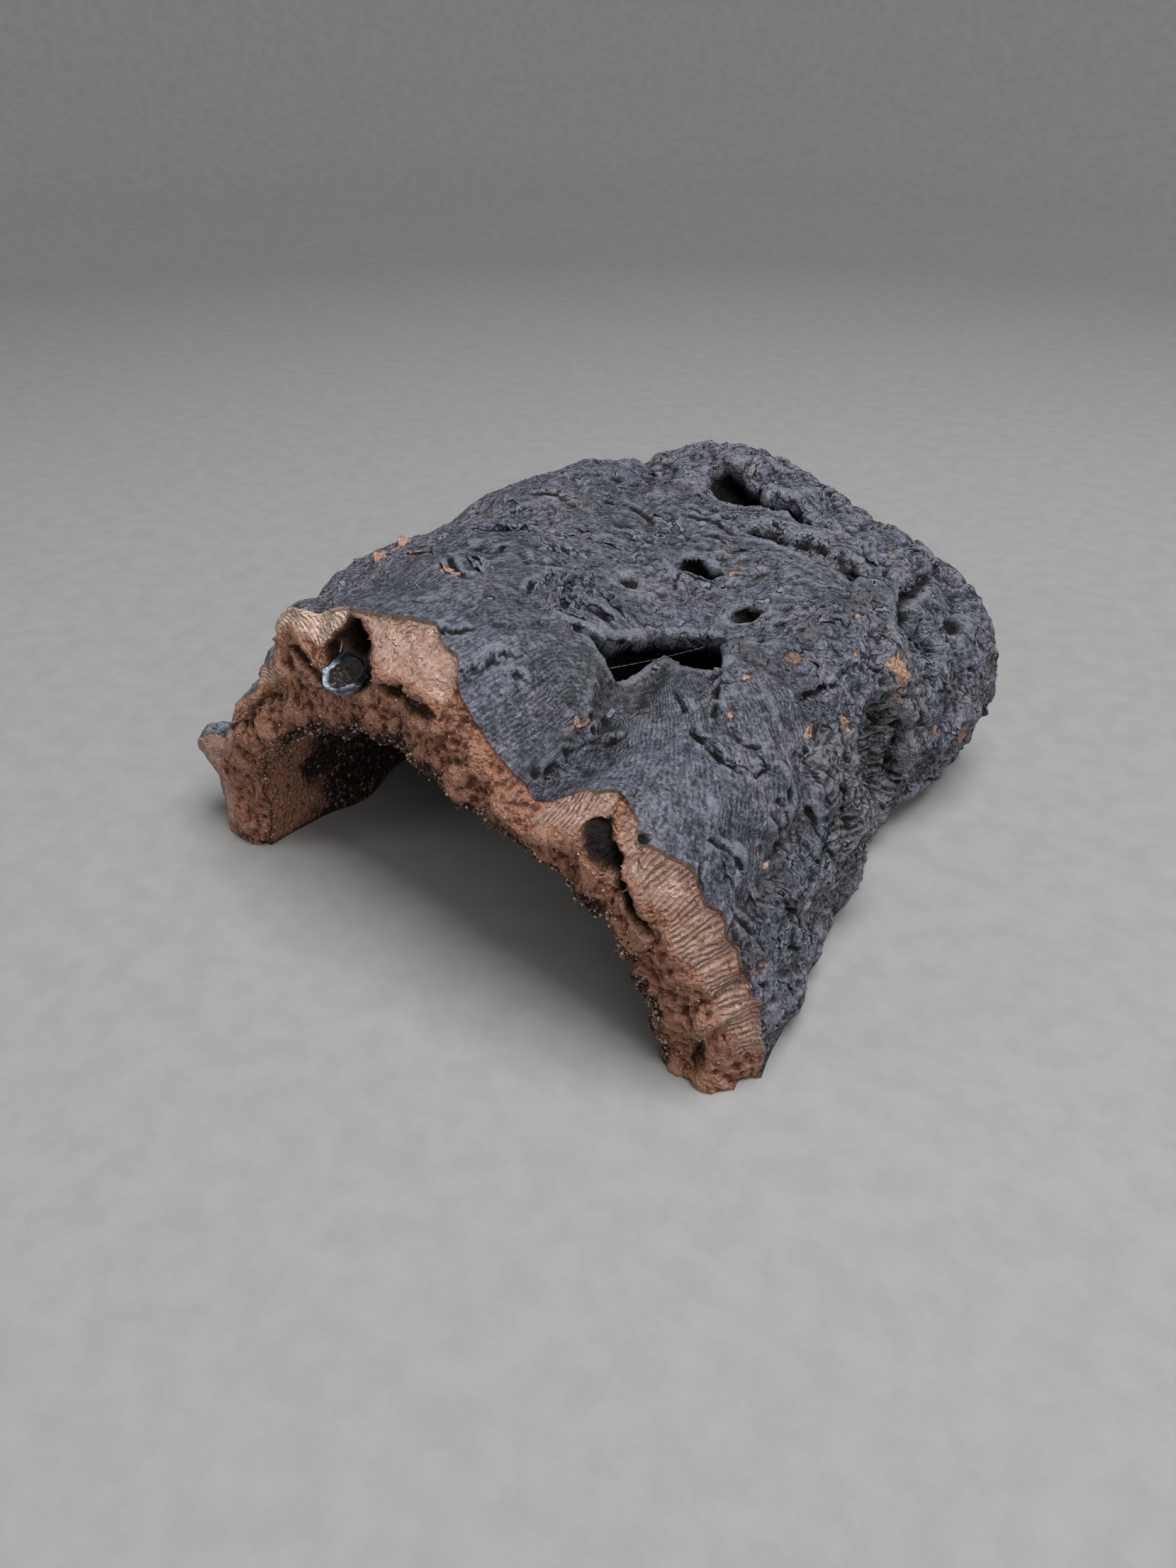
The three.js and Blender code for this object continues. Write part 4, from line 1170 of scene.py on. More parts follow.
# The top light group paints the skin paler where it faces up, as light from above.
lit_top = use_group(tree, top_light, Amount=0.45, Grain_mm=1.1)
shown = kept(tree, "shown")
crest = kept(tree, "crest")

felt = use_group(tree, flecks, Across=kept(tree, "line"), Along=kept(tree, "stride"),
                 Width_mm=0.6, Length_mm=2.4)
hue = tint(tree, stretch(tree, mottle["Patches"], 0.42, 0.62), SLATE, SLATE_WARM)
tone = weighted(tree, (mottle["Patches"], 0.5), (mottle["Mottle"], 0.9), (mottle["Specks"], 0.9),
                (shown, -0.11))
colour = tint(tree, stretch(tree, tone, 0.90, 1.38), SLATE_DARK, hue)
pale = weighted(tree, (felt["Pale"], 0.5), (ruling["Ridge"], times(tree, shown, 0.12)))
# A blue white bloom, partly a painted sheen on the lobes.
bloom_sheen = times(tree, kept(tree, "bloom_sheen"), stretch(tree, mottle["Mottle"], 0.35, 0.62))
# The dull green mask also darkens the left lobe as painted shade.
colour = layers(tree, colour, (pale, 1.0, SLATE_PALE), (felt["Dark"], 0.7, SLATE_DARK),
                (bloom_sheen, 0.75, BLOOM_SHEEN_BLUE), (kept(tree, "green_and_shade"), 0.65, MOSS_AND_SHADE_GREY),
                (kept(tree, "layered"), 0.6, LAYER_BROWN), (lit_top["Mask"], 0.35, SLATE_PALE),
                (ruling["Groove"], times(tree, shown, 0.45), SLATE_DARK))
# From the crest map: a painted highlight on crests and edges, and painted shade in cracks and hollows.
colour = tint(tree, stretch(tree, crest, 0.15, 1.1, 0.0, 0.3), colour, SLATE_PALE)
colour = tint(tree, stretch(tree, crest, -0.15, -1.0, 0.0, 0.75), colour, SHADE_BLACK)
plate, flake = (use_group(tree, plates, Size_mm=size, Steps=steps,
                          Share=minus(tree, share, times(tree, shown, 0.8)))
                for size, steps, share in ((12.0, 8.0, 0.8), (4.5, 4.0, 0.6)))
# Painted highlight on the edges of the plates and flakes, and painted shadow below them.
edge = calc("MAXIMUM", tree, plate["Edge"], times(tree, flake["Edge"], 0.7))
under = calc("MAXIMUM", tree, plate["Line"], times(tree, flake["Line"], 0.8))
edge_highlight = tint(tree, stretch(tree, mottle["Patches"], 0.5, 0.6), SLATE_PALE, EDGE_HIGHLIGHT)
colour = layers(tree, colour, (edge, 0.5, edge_highlight), (under, 1.0, SHADE_BLACK))
bare = weighted(tree, (kept(tree, "worn"), 1.0), (minus(tree, mottle["Mottle"], 0.5), 1.6))
bare = stretch(tree, bare, 0.50, 0.66)
cork = tint(tree, stretch(tree, felt["Felt"], 0.38, 0.6), CORK_ORANGE, CORK_PALE)
cork = tint(tree, stretch(tree, mottle["Specks"], 0.5, 0.36, 0.0, 0.7), cork, LAYER_BROWN)
colour = tint(tree, bare, colour, cork)
# Painted shade in the cracks, pits and pockets, darkening them towards black.
painted_shade = calc("MAXIMUM", tree, stretch(tree, kept(tree, "cut"), 0.25, 0.8),
            stretch(tree, kept(tree, "deep"), 0.06, 0.6))
colour = tint(tree, painted_shade, colour, SHADE_BLACK)

height = weighted(tree, (mottle["Mottle"], 2.0), (felt["Felt"], 1.1), (mottle["Specks"], 1.0),
                  (ruling["Ridge"], times(tree, shown, 0.32)), (plate["Height"], 2.2),
                  (flake["Height"], 1.0), (bare, -0.8))
rough = stretch(tree, mottle["Specks"], 0.3, 0.7, 0.86, 0.6)
finish_material(tree, shader, colour, rough, height, 0.6)
print("skin nodes:", len(tree.nodes))

# %% [markdown]
# Fresh broken cork runs from pale buff on the flat facets to rust where it crumbled, and nearly
# black grit on the inner rim. It is one material that follows the maps of the break, because on
# the real piece one runs into the next within a crumb or two.

# %% The broken cork
BUFF = (0.42, 0.25, 0.185)
BUFF_PALE = (0.54, 0.39, 0.33)
PAINTED_LIGHT_BUFF = (0.82, 0.62, 0.51)
RUST = (0.20, 0.068, 0.036)
RUST_BRIGHT = (0.50, 0.215, 0.125)
RUST_DARK = (0.050, 0.020, 0.014)
CRUMB_BUFF = (0.50, 0.245, 0.15)
GRIT_BLACK = (0.014, 0.009, 0.008)
GRIT_BROWN = (0.13, 0.065, 0.044)
GRIT_PALE = (0.40, 0.29, 0.24)

broken, tree, shader = new_material("broken cork")
mottle = use_group(tree, mottling, Patch_mm=9.0, Mottle_mm=2.0, Speck_mm=0.5)
ruling = use_group(tree, ruled, Line=kept(tree, "line"), Gap_mm=1.45, Waver_mm=0.7)
grain = use_group(tree, crumbs, Size_mm=1.0)
shown = kept(tree, "shown")
crest = kept(tree, "crest")
rust = tint(tree, stretch(tree, mottle["Patches"], 0.32, 0.58), RUST, RUST_BRIGHT)
rust = tint(tree, stretch(tree, grain["Chance"], 0.45, 1.0, 0.0, 0.6), rust, CRUMB_BUFF)
# Painted shade in the gaps between crumbs.
rust = layers(tree, rust, (grain["Gap"], 0.5, RUST_DARK))
facet = tint(tree, stretch(tree, mottle["Mottle"], 0.35, 0.7), BUFF, BUFF_PALE)
facet = tint(tree, stretch(tree, mottle["Patches"], 0.52, 0.75, 0.0, 0.45), facet, RUST_BRIGHT)
lines = times(tree, ruling["Groove"], times(tree, shown, 0.9))
facet = layers(tree, facet, (lines, 0.75, RUST))
# Paleness above 1 adds painted light, on the patch left of the gallery.
facet = tint(tree, stretch(tree, kept(tree, "pale"), 1.0, 1.35, 0.0, 0.75), facet, PAINTED_LIGHT_BUFF)
# Painted highlight on the chips' edges and painted shadow below them.
chip = use_group(tree, plates, Size_mm=5.0, Steps=5.0, Share=0.5)
facet = layers(tree, facet, (chip["Edge"], 0.5, PAINTED_LIGHT_BUFF), (chip["Line"], 0.65, RUST))
paleness = weighted(tree, (kept(tree, "pale"), 1.0), (minus(tree, mottle["Mottle"], 0.5), 0.5))
colour = tint(tree, stretch(tree, paleness, 0.2, 0.75), rust, facet)
# Painted highlight on the crests of the break, and painted shade in its hollows.
colour = tint(tree, stretch(tree, crest, 0.05, 0.8, 0.0, 0.5), colour, BUFF)
hollow = minus(tree, 1.0, times(tree, kept(tree, "pale"), 0.75))
hollow = times(tree, hollow, stretch(tree, crest, -0.15, -1.1, 0.0, 0.75))
colour = tint(tree, hollow, colour, RUST_DARK)
gritty = tint(tree, stretch(tree, grain["Chance"], 0.35, 0.6), GRIT_BLACK, GRIT_BROWN)
gritty = tint(tree, stretch(tree, grain["Chance"], 0.72, 0.95), gritty, GRIT_PALE)
# Painted shade in the gaps between grains.
gritty = tint(tree, grain["Gap"], gritty, GRIT_BLACK)
colour = tint(tree, kept(tree, "grit"), colour, gritty)
# Painted shade in the hollows of the break and in the gallery's mouth.
colour = tint(tree, kept(tree, "painted_shade"), colour, GRIT_BLACK)
crumbly = minus(tree, 0.65, times(tree, kept(tree, "pale"), 0.55))
height = weighted(tree, (grain["Height"], crumbly), (mottle["Mottle"], 0.7),
                  (ruling["Ridge"], times(tree, shown, 0.9)), (chip["Height"], 0.8))
rough = stretch(tree, mottle["Specks"], 0.3, 0.7, 0.95, 0.8)
finish_material(tree, shader, colour, rough, height, 0.8)
print("break nodes:", len(tree.nodes))

# %% [markdown]
# The belly lay against the growing wood. On this piece it is a crust of black and brown grit with
# pale grains in it, and it is mostly in shadow.

# %% The belly's crust
crust, tree, shader = new_material("belly crust")
mottle = use_group(tree, mottling, Patch_mm=16.0, Mottle_mm=3.0, Speck_mm=0.6)
grain = use_group(tree, crumbs, Size_mm=1.1)
BELLY_BROWN = (0.060, 0.034, 0.025)
colour = tint(tree, stretch(tree, mottle["Patches"], 0.4, 0.65), GRIT_BLACK, BELLY_BROWN)
colour = tint(tree, stretch(tree, grain["Chance"], 0.4, 0.65, 0.0, 0.8), colour, GRIT_BROWN)
colour = tint(tree, stretch(tree, grain["Chance"], 0.76, 0.97, 0.0, 0.8), colour, GRIT_PALE)
torn = tint(tree, stretch(tree, mottle["Mottle"], 0.4, 0.65), RUST_BRIGHT, BUFF)
colour = tint(tree, kept(tree, "pale"), colour, torn)
# Painted shade in the gaps between grains, less on the torn pale end.
gap_shade = times(tree, grain["Gap"],
            minus(tree, 1.0, times(tree, kept(tree, "pale"), 0.6)))
colour = tint(tree, gap_shade, colour, GRIT_BLACK)
height = plus(tree, grain["Height"], mottle["Mottle"])
rough = stretch(tree, mottle["Specks"], 0.3, 0.7, 0.95, 0.8)
finish_material(tree, shader, colour, rough, height, 0.7)

for material in (weathered, broken, crust):
    bark.data.materials.append(material)
bark.data.polygons.foreach_set("material_index", face_kinds.astype(np.int32))
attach(bark, "root")
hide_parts("cork_bark")
print("bark materials:", [material.name for material in bark.data.materials])

# %% [markdown]
# Plates of old skin stand up from the bark: the thick lip over the slot, the plates of the knot
# beside it, pale flakes on the crown. Cut in the mesh they would be swollen at the root. As thin
# strips of their own they keep a sharp free edge and throw a real shadow. Each strip hangs on a
# path in run and y: its root is sunk in the skin and its free edge lifts off.

# %% Places on the finished skin
def on_skin(run, y):
    """Points of the finished skin grid, between its own points."""
    place = np.clip(np.interp(run, run_line, np.arange(RUN_STEPS + 1)), 0, RUN_STEPS - 0.001)
    points = np.zeros(run.shape + (3,))
    for index in np.ndindex(run.shape):
        i = int(place[index])
        pair = []
        for column in (i, i + 1):
            j = np.interp(y[index], SKIN_Y[column], np.arange(LENGTH_STEPS + 1))
            j0 = min(int(j), LENGTH_STEPS - 1)
            pair.append(mix(skin[column, j0], skin[column, j0 + 1], j - j0))
        points[index] = mix(pair[0], pair[1], place[index] - i)
    return points


def resample(path, gap):
    """Points along a path, one for each gap, and the directions across it."""
    path = np.array(path, float)
    lengths = np.concatenate([[0], np.cumsum(np.hypot(*np.diff(path, axis=0).T))])
    places = np.linspace(0, lengths[-1], max(5, int(lengths[-1] / gap) + 1))
    points = np.stack([np.interp(places, lengths, path[:, k]) for k in (0, 1)], -1)
    ahead = np.gradient(points, axis=0)
    ahead /= np.hypot(*ahead.T)[:, None]
    return points, np.stack([ahead[:, 1], -ahead[:, 0]], -1)


# %% Strips of lifted skin
STRIP_COLUMNS = 6
STRIP_MAPS = ("line", "stride", "crest", "worn", "bloom_sheen")
UNDERSIDE_SHADE = -0.7  # painted shade on the undersides, dark as in a crack


def strip(path, width, lift, thick, over, seed, gap=0.7, **maps):
    """A closed strip of skin along a path, its root on the path's right and its edge on it."""
    points, across = resample(path, gap)
    count = len(points)
    s = np.linspace(0, 1, count)
    taper = np.sqrt(np.clip(np.sin(math.pi * s), 0, 1))
    ragged = noise(points[:, 0] / 1.5, points[:, 1] / 1.5, seed)
    reach = width * taper * (1 + 0.35 * noise(s * count * gap / 4, 0.5, seed + 1)) + 0.05
    edge = points + across * (maps.pop("torn", 0.5) * ragged)[:, None]
    root = edge + across * reach[:, None]
    edge_points, root_points = on_skin(*edge.T), on_skin(*root.T)
    out = arch_frame(SKIN_SECTIONS, edge[:, 0], edge[:, 1])[2]
    t = np.linspace(0, 1, STRIP_COLUMNS)[None, :, None]
    outward = edge_points - root_points
    outward /= np.linalg.norm(outward, axis=1, keepdims=True) + 1e-9
    top = mix(root_points[:, None], edge_points[:, None], t)
    top += outward[:, None] * (t * over * taper[:, None, None])
    rise = lift * t ** 1.4 * (0.7 + 0.5 * ragged[:, None, None]) - 0.35 * (1 - t)
    rise = rise * taper[:, None, None] - 0.3 * (1 - taper[:, None, None])
    top = top + out[:, None] * rise
    top += out[:, None] * (0.22 * crumb(top, 1.6, seed + 2))[..., None]
    low = top - out[:, None] * (thick * (0.4 + 0.6 * t) * (0.25 + 0.75 * taper[:, None, None]))
    # The crest map paints a highlight along the free edge and shade on the underside.
    upper = {"line": reach[:, None] * t[..., 0], "stride": points[:, :1],
             "crest": maps.pop("edge", 0.35) * t[..., 0] ** 6}
    lower = {"worn": maps.pop("under", 0.0), "crest": UNDERSIDE_SHADE}
    values = {}
    for name in STRIP_MAPS:
        above = upper.get(name, maps.get(name, 0.0))
        sides = [np.broadcast_to(side, top.shape[:2]) for side in (above, lower.get(name, above))]
        values[name] = np.stack(sides).reshape(-1)
    ids = np.arange(2 * count * STRIP_COLUMNS).reshape(2, count, STRIP_COLUMNS)
    faces = quads(ids[0]) + quads(ids[1], flip=True)
    rim = np.concatenate([ids[:, :-1, 0], ids[:, -1, :-1], ids[:, :0:-1, -1], ids[:, 0, :0:-1]], axis=1)
    rim = np.concatenate([rim, rim[:, :1]], axis=1)
    faces += quads(rim)
    return np.concatenate([top.reshape(-1, 3), low.reshape(-1, 3)]), faces, values


NAMED_STRIPS = [  # path, width, lift, thickness, overhang, and how strong the painted highlight on its edge is or how worn
    ([(193, 72), (183, 72), (176, 68), (172, 64), (169, 59), (167, 54), (165, 49), (162, 46),
      (157, 42)], 5.0, 0.7, 0.8, 0.3, {"edge": 0.6, "under": 0.75, "torn": 1.4}),
    ([(161, 49), (157, 46), (153, 43), (149, 38)], 3.2, 1.2, 0.9, 0.6, {"edge": 0.5}),
    ([(163, 54), (156, 53), (151, 49), (148, 43)], 3.0, 1.8, 0.8, 0.3, {}),
    ([(154, 46), (152, 54), (150, 63)], 4.0, 5.6, 1.2, 0.3, {"edge": 0.9}),
    ([(150, 41), (148, 49), (147, 59)], 3.2, 5.0, 1.1, 0.2, {"edge": 0.9}),
    ([(146, 40), (144, 47), (143, 56)], 3.0, 3.8, 1.0, 0.2, {"edge": 0.9}),
    ([(135, 38), (130, 40), (125, 42)], 4.5, 2.2, 0.7, 0.2, {"edge": 1.1, "bloom_sheen": 1.0}),
    ([(133, 41), (128, 43), (124, 46)], 3.5, 2.2, 0.6, 0.2, {"edge": 1.1, "bloom_sheen": 0.8}),
    ([(104, 32), (99, 36), (96, 42)], 3.0, 2.4, 1.0, 0.2, {"edge": 0.9, "worn": 0.9}),
    ([(98, 44), (94, 48), (92, 53)], 3.0, 2.0, 1.0, 0.2, {"edge": 0.9, "worn": 0.8}),
    ([(100, 20), (96, 27), (94, 34)], 3.2, 2.0, 0.9, 0.3, {"edge": 0.7}),
    ([(168, 58), (160, 57), (154, 60)], 2.6, 1.6, 0.8, 0.3, {"edge": 0.7}),
    ([(152, 79), (145, 79), (139, 76), (133, 71)], 3.5, 1.1, 0.8, 0.4, {"edge": 0.6}),
    ([(138, 70), (131, 68), (124, 68), (117, 62), (111, 58)], 3.0, 1.3, 0.9, 0.4, {"edge": 0.3}),
    ([(178, 89), (170, 86), (163, 86), (157, 88)], 3.0, 1.0, 0.9, 0.8, {"edge": 0.4}),
    ([(221, 33), (214, 30), (207, 31), (200, 34)], 2.6, 0.9, 0.8, 0.4, {"edge": 0.5}),
    ([(188, 38), (184, 36), (178, 32)], 2.6, 0.8, 0.7, 0.3, {"edge": 0.4}),
    ([(213, 96), (205, 84), (196, 78)], 2.6, 0.9, 0.7, 0.3, {"edge": 0.5}),
    ([(188, 141), (180, 140), (170, 138), (161, 138)], 4.0, 0.6, 1.4, 1.0, {"edge": 0.4}),
    ([(205, 128), (196, 124), (186, 121), (174, 119)], 3.6, 0.8, 1.0, 0.8, {"edge": 0.4}),
    ([(267, 79), (257, 78), (247, 75), (239, 74)], 3.0, 1.0, 1.2, 0.8, {"edge": 0.8, "worn": 0.5}),
    ([(230, 50), (231, 58), (229, 66)], 2.2, 1.0, 0.9, 0.4, {"edge": 0.7, "worn": 0.45}),
    ([(118, 40), (113, 38), (108, 39)], 2.6, 1.3, 0.9, 0.2, {"edge": 0.8, "worn": 0.8}),
    ([(131, 34), (127, 33), (123, 35)], 3.2, 1.6, 0.8, 0.1, {"edge": 0.8, "worn": 0.9}),
    ([(178, 27), (176, 22), (174, 17)], 2.4, 0.5, 0.6, 0.1, {"edge": 0.5, "worn": 0.62}),
]
LOOSE_STRIPS = 190

# %% Strips in their places
strips = [strip(path, width, lift, thick, over, 200 + 3 * number, **maps)
          for number, (path, width, lift, thick, over, maps) in enumerate(NAMED_STRIPS)]
rng = np.random.default_rng(61)
while len(strips) < len(NAMED_STRIPS) + LOOSE_STRIPS:
    run0, y0 = rng.uniform(8, 274), rng.uniform(8, 152)
    knotty = float(knottiness(np.array(run0), np.array(y0)))
    on_lobe = LOBE_RUN[0] < run0 < LOBE_RUN[1] and y0 < LOBE_END - 6
    if rng.random() > (0.05 if on_lobe else 0.25 + 0.75 * knotty):
        continue
    angle = math.pi + rng.normal(0.3, 0.6)
    half = rng.uniform(1.6, 4.5)
    bend = rng.normal(0, 0.9)
    step = np.array([math.cos(angle), math.sin(angle)]) * half
    middle = np.array([run0, y0])
    path = [tuple(middle - step), tuple(middle + (-step[1] * bend / half, step[0] * bend / half)),
            tuple(middle + step)]
    worn = rng.uniform(0.55, 0.9) if rng.random() < 0.07 else 0.0
    strips.append(strip(path, rng.uniform(1.6, 3.6), rng.uniform(0.5, 1.6), rng.uniform(0.5, 0.9), 0.2,
                        300 + len(strips) - len(NAMED_STRIPS), edge=rng.uniform(0.3, 1.0), worn=worn))


def gathered(blocks):
    """Many small closed pieces as one block of points, faces and maps."""
    faces, total = [], 0
    for points, sides, _ in blocks:
        faces += [[n + total for n in face] for face in sides]
        total += len(points)
    points = np.concatenate([points for points, _, _ in blocks])
    return points, faces, {name: np.concatenate([maps[name] for _, _, maps in blocks])
                           for name in blocks[0][2]}


def add_piece(name, block, material, node):
    """A piece from points in mm in the frame of the sections, held inside the CAD box."""
    points, faces, maps = block
    placed = np.clip((points - MIDDLE) * MM, np.array(cad_low), np.array(cad_high))
    piece = mesh_piece(name, placed, faces, [material])
    keep_maps(piece.data, maps)
    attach(piece, "root")
    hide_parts(node)
    print(name + ":", len(points), "points,", len(faces), "faces")


add_piece("loose_skin", gathered(strips), weathered, "cork_bark")

# %% [markdown]
# Granules hang along the inner rim of the near break and lie in its hollows. They could be part of
# the break's mesh, but that mesh is too coarse for grains of half a millimetre. Each is a small
# eight sided crumb, turned and stretched at random and pressed halfway into the surface.

# %% Granules on the near break
GRANULES = 2600
ON_BELLY = 0.42  # share of them that sit on the belly, the rest on the break
BY_THE_RIM = 0.45  # share of the break's that hang by the inner rim
BARE_FACET = 0.5  # paleness from which a facet is too smooth for granules and fibres
GRANULE_CORNERS = np.array([(1, 0, 0), (-1, 0, 0), (0, 1, 0), (0, -1, 0), (0, 0, 1), (0, 0, -1)],
                           float)
GRANULE_FACES = [(0, 2, 4), (2, 1, 4), (1, 3, 4), (3, 0, 4),
                 (2, 0, 5), (1, 2, 5), (3, 1, 5), (0, 3, 5)]

rng = np.random.default_rng(83)
break_normals = -surface_normals(near_break)
belly_normals = -surface_normals(belly)
granules = []
for _ in range(GRANULES):
    i = rng.integers(4, RUN_STEPS - 4)
    if rng.random() < ON_BELLY:
        j = int(np.clip(abs(rng.normal(0, 9)), 0, 40))
        place, out = belly[i, j], belly_normals[i, j]
        grit = 1.0
    else:
        by_rim = int(max(4, WALL_STEPS - abs(rng.normal(0, 3))))
        k = int(rng.integers(5, WALL_STEPS)) if rng.random() < 1 - BY_THE_RIM else by_rim
        place, out = near_break[i, k], break_normals[i, k]
        if near_maps["pale"][i, k] > BARE_FACET or near_maps["painted_shade"][i, k] > 0.8:
            continue
        grit = float(near_maps["grit"][i, k])
    size = rng.uniform(0.2, 0.62) * (1.0 if grit > 0.5 else 0.8)
    turn = np.linalg.qr(rng.normal(size=(3, 3)))[0]
    corners = (GRANULE_CORNERS * rng.uniform(0.6, 1.25, (6, 1))) @ turn * size
    granules.append((place + out * size * 0.35 + corners, GRANULE_FACES,
                     {"pale": np.full(6, rng.uniform(0, 1) ** 2), "grit": np.full(6, grit)}))

GRAIN_RUST = (0.24, 0.10, 0.06)
granule, tree, shader = new_material("cork granules")
mottle = use_group(tree, mottling, Patch_mm=6.0, Mottle_mm=1.2, Speck_mm=0.4)
base = tint(tree, kept(tree, "grit"), GRAIN_RUST, GRIT_BROWN)
base = tint(tree, stretch(tree, mottle["Patches"], 0.45, 0.7, 0.0, 0.8), base, RUST_DARK)
colour = tint(tree, stretch(tree, kept(tree, "pale"), 0.2, 0.9), base, BUFF_PALE)
finish_material(tree, shader, colour, stretch(tree, mottle["Specks"], 0.3, 0.7, 0.95, 0.8),
                mottle["Mottle"], 0.3)
add_piece("granules", gathered(granules), granule, "cork_bark")

# %% [markdown]
# The silk cup is what is left of a cocoon in the mouth of the gallery: a bowl of bluish felt with
# a torn rim that carries a painted highlight, and brown crumbs in it. It could be a sphere cut in
# half. It is spun from the same profile as the CAD model's cup, then its rim is torn and its felt is
# made lumpy.

# %% The silk cup
CUP_PLACE = np.array([-33.0, 0.0, 68.0])
CUP_AXIS = unit(np.array([-0.1, -0.62, 0.78]))
CUP_PROFILE = np.array([(0, -4.4), (3, -4.1), (5.1, -2.4), (6, 0.4), (5.4, 1.6), (4.0, -0.9), (0, -2.4)])
CUP_RIM = 4  # number of the profile's rim point
CUP_FRONT = unit(np.array([-0.35, -0.75, -0.5]))  # the side whose rim is whole
CUP_SIDES = 90
CUP_RINGS = 46

cup_side = unit(np.cross(CUP_AXIS, (0, 0, 1)))
cup_front = np.cross(CUP_AXIS, cup_side)
knots = np.arange(len(CUP_PROFILE))
t = np.linspace(0, len(CUP_PROFILE) - 1, CUP_RINGS)[1:-1]
radius, height = np.interp(t, knots, CUP_PROFILE[:, 0]), np.interp(t, knots, CUP_PROFILE[:, 1])
angle = np.linspace(0, 2 * math.pi, CUP_SIDES, endpoint=False)[None]
spread = (np.cos(angle)[..., None] * cup_side + np.sin(angle)[..., None] * cup_front)
near_rim = np.exp(-((t - CUP_RIM) / 0.55) ** 2)[:, None]
inside = smooth((t - CUP_RIM - 0.25) / 0.4)[:, None]
cup_points = CUP_PLACE + radius[:, None, None] * spread + height[:, None, None] * CUP_AXIS
torn = 0.55 * crumb(cup_points, 2.4, 71) + 0.35 * crumb(cup_points, 1.1, 72)
front = smooth(0.35 + 0.9 * (spread @ CUP_FRONT))
cup_points = cup_points + CUP_AXIS * (near_rim * (1.3 * torn - 0.2 - 3.0 * (1 - front)))[..., None]
lumps = 0.25 * crumb(cup_points, 1.5, 73) - 0.15
cup_points = cup_points + spread * ((1 - inside) * lumps)[..., None]
cup_points = cup_points + spread * ((1 - inside) * 0.7 * crumb(cup_points, 4.0, 76))[..., None]
crumbled = 0.45 * np.abs(crumb(cup_points, 1.5, 74)) + 0.3 * crumb(cup_points, 0.8, 75)
cup_points = cup_points + CUP_AXIS * (inside * crumbled)[..., None]
ring_ids = np.arange(cup_points.shape[0] * CUP_SIDES).reshape(-1, CUP_SIDES)
closed_ids = np.concatenate([ring_ids, ring_ids[:, :1]], axis=1)
bottom, floor_middle = ring_ids.size, ring_ids.size + 1
cup_faces = quads(closed_ids)
cup_faces += [[bottom, closed_ids[0, n], closed_ids[0, n + 1]] for n in range(CUP_SIDES)]
cup_faces += [[floor_middle, closed_ids[-1, n + 1], closed_ids[-1, n]] for n in range(CUP_SIDES)]
poles = CUP_PLACE + CUP_AXIS * np.array([[CUP_PROFILE[0, 1]], [CUP_PROFILE[-1, 1]]])
cup_all = np.concatenate([cup_points.reshape(-1, 3), poles])
# Where the painted highlight and the painted shade go on the cup.
cup_rim_light_map = np.concatenate([(near_rim * (1 - inside) * front).reshape(-1), [0, 0]])
cup_back_shade_map = np.concatenate([np.broadcast_to(1 - front, ring_ids.shape).reshape(-1), [0, 0.5]])
cup_crumb_map = np.concatenate([np.broadcast_to(inside, ring_ids.shape).reshape(-1), [0, 1]])

# %% [markdown]
# The felt is bluish, with a painted highlight on its front rim, and painted shade makes it nearly
# black at the back. One colour would look like plastic. Three maps that were kept on the cup part it
# into the lit rim, the shaded back and brown crumbs.

# %% The silk felt
SILK = (0.17, 0.21, 0.29)
SILK_DEEP = (0.045, 0.055, 0.085)
SILK_BRIGHT = (0.55, 0.64, 0.78)
FRASS_BROWN = (0.085, 0.045, 0.032)
FRASS_AND_SHADE_BLACK = (0.012, 0.010, 0.010)
silk, tree, shader = new_material("silk felt")
mottle = use_group(tree, mottling, Patch_mm=3.2, Mottle_mm=1.1, Speck_mm=0.4)
grain = use_group(tree, crumbs, Size_mm=0.8)
colour = tint(tree, stretch(tree, mottle["Patches"], 0.38, 0.62), SILK_DEEP, SILK)
colour = tint(tree, stretch(tree, mottle["Mottle"], 0.52, 0.7, 0.0, 0.35), colour, SILK_BRIGHT)
# Painted highlight on the front rim.
rim_light = times(tree, kept(tree, "rim"), stretch(tree, mottle["Mottle"], 0.36, 0.56))
colour = tint(tree, rim_light, colour, SILK_BRIGHT)
frass = tint(tree, stretch(tree, grain["Chance"], 0.3, 0.8), FRASS_AND_SHADE_BLACK, FRASS_BROWN)
frass = tint(tree, stretch(tree, grain["Chance"], 0.95, 0.98), frass, BUFF)
# Painted shade in the gaps between crumbs.
frass = tint(tree, grain["Gap"], frass, FRASS_AND_SHADE_BLACK)
colour = tint(tree, kept(tree, "frass"), colour, frass)
# Painted shade darkens the back of the cup.
colour = tint(tree, stretch(tree, kept(tree, "back_shade"), 0.45, 1.0, 0.0, 0.85), colour, FRASS_AND_SHADE_BLACK)
height = plus(tree, mottle["Mottle"], times(tree, mottle["Specks"], 0.7))
finish_material(tree, shader, colour, stretch(tree, mottle["Specks"], 0.3, 0.7, 0.75, 0.5), height, 0.35)
cup_maps = {"rim": cup_rim_light_map, "frass": cup_crumb_map, "back_shade": cup_back_shade_map}
add_piece("silk_cup_felt", (cup_all, cup_faces, cup_maps), silk, "silk_cup")

# %% [markdown]
# A few threads finish it: silk across the slot and round the cup, and fibres that stick out of the
# torn cork. Curves with a bevel would do, but the parts library keeps meshes, so each thread is a
# thin tube of five sides along a sagging line.

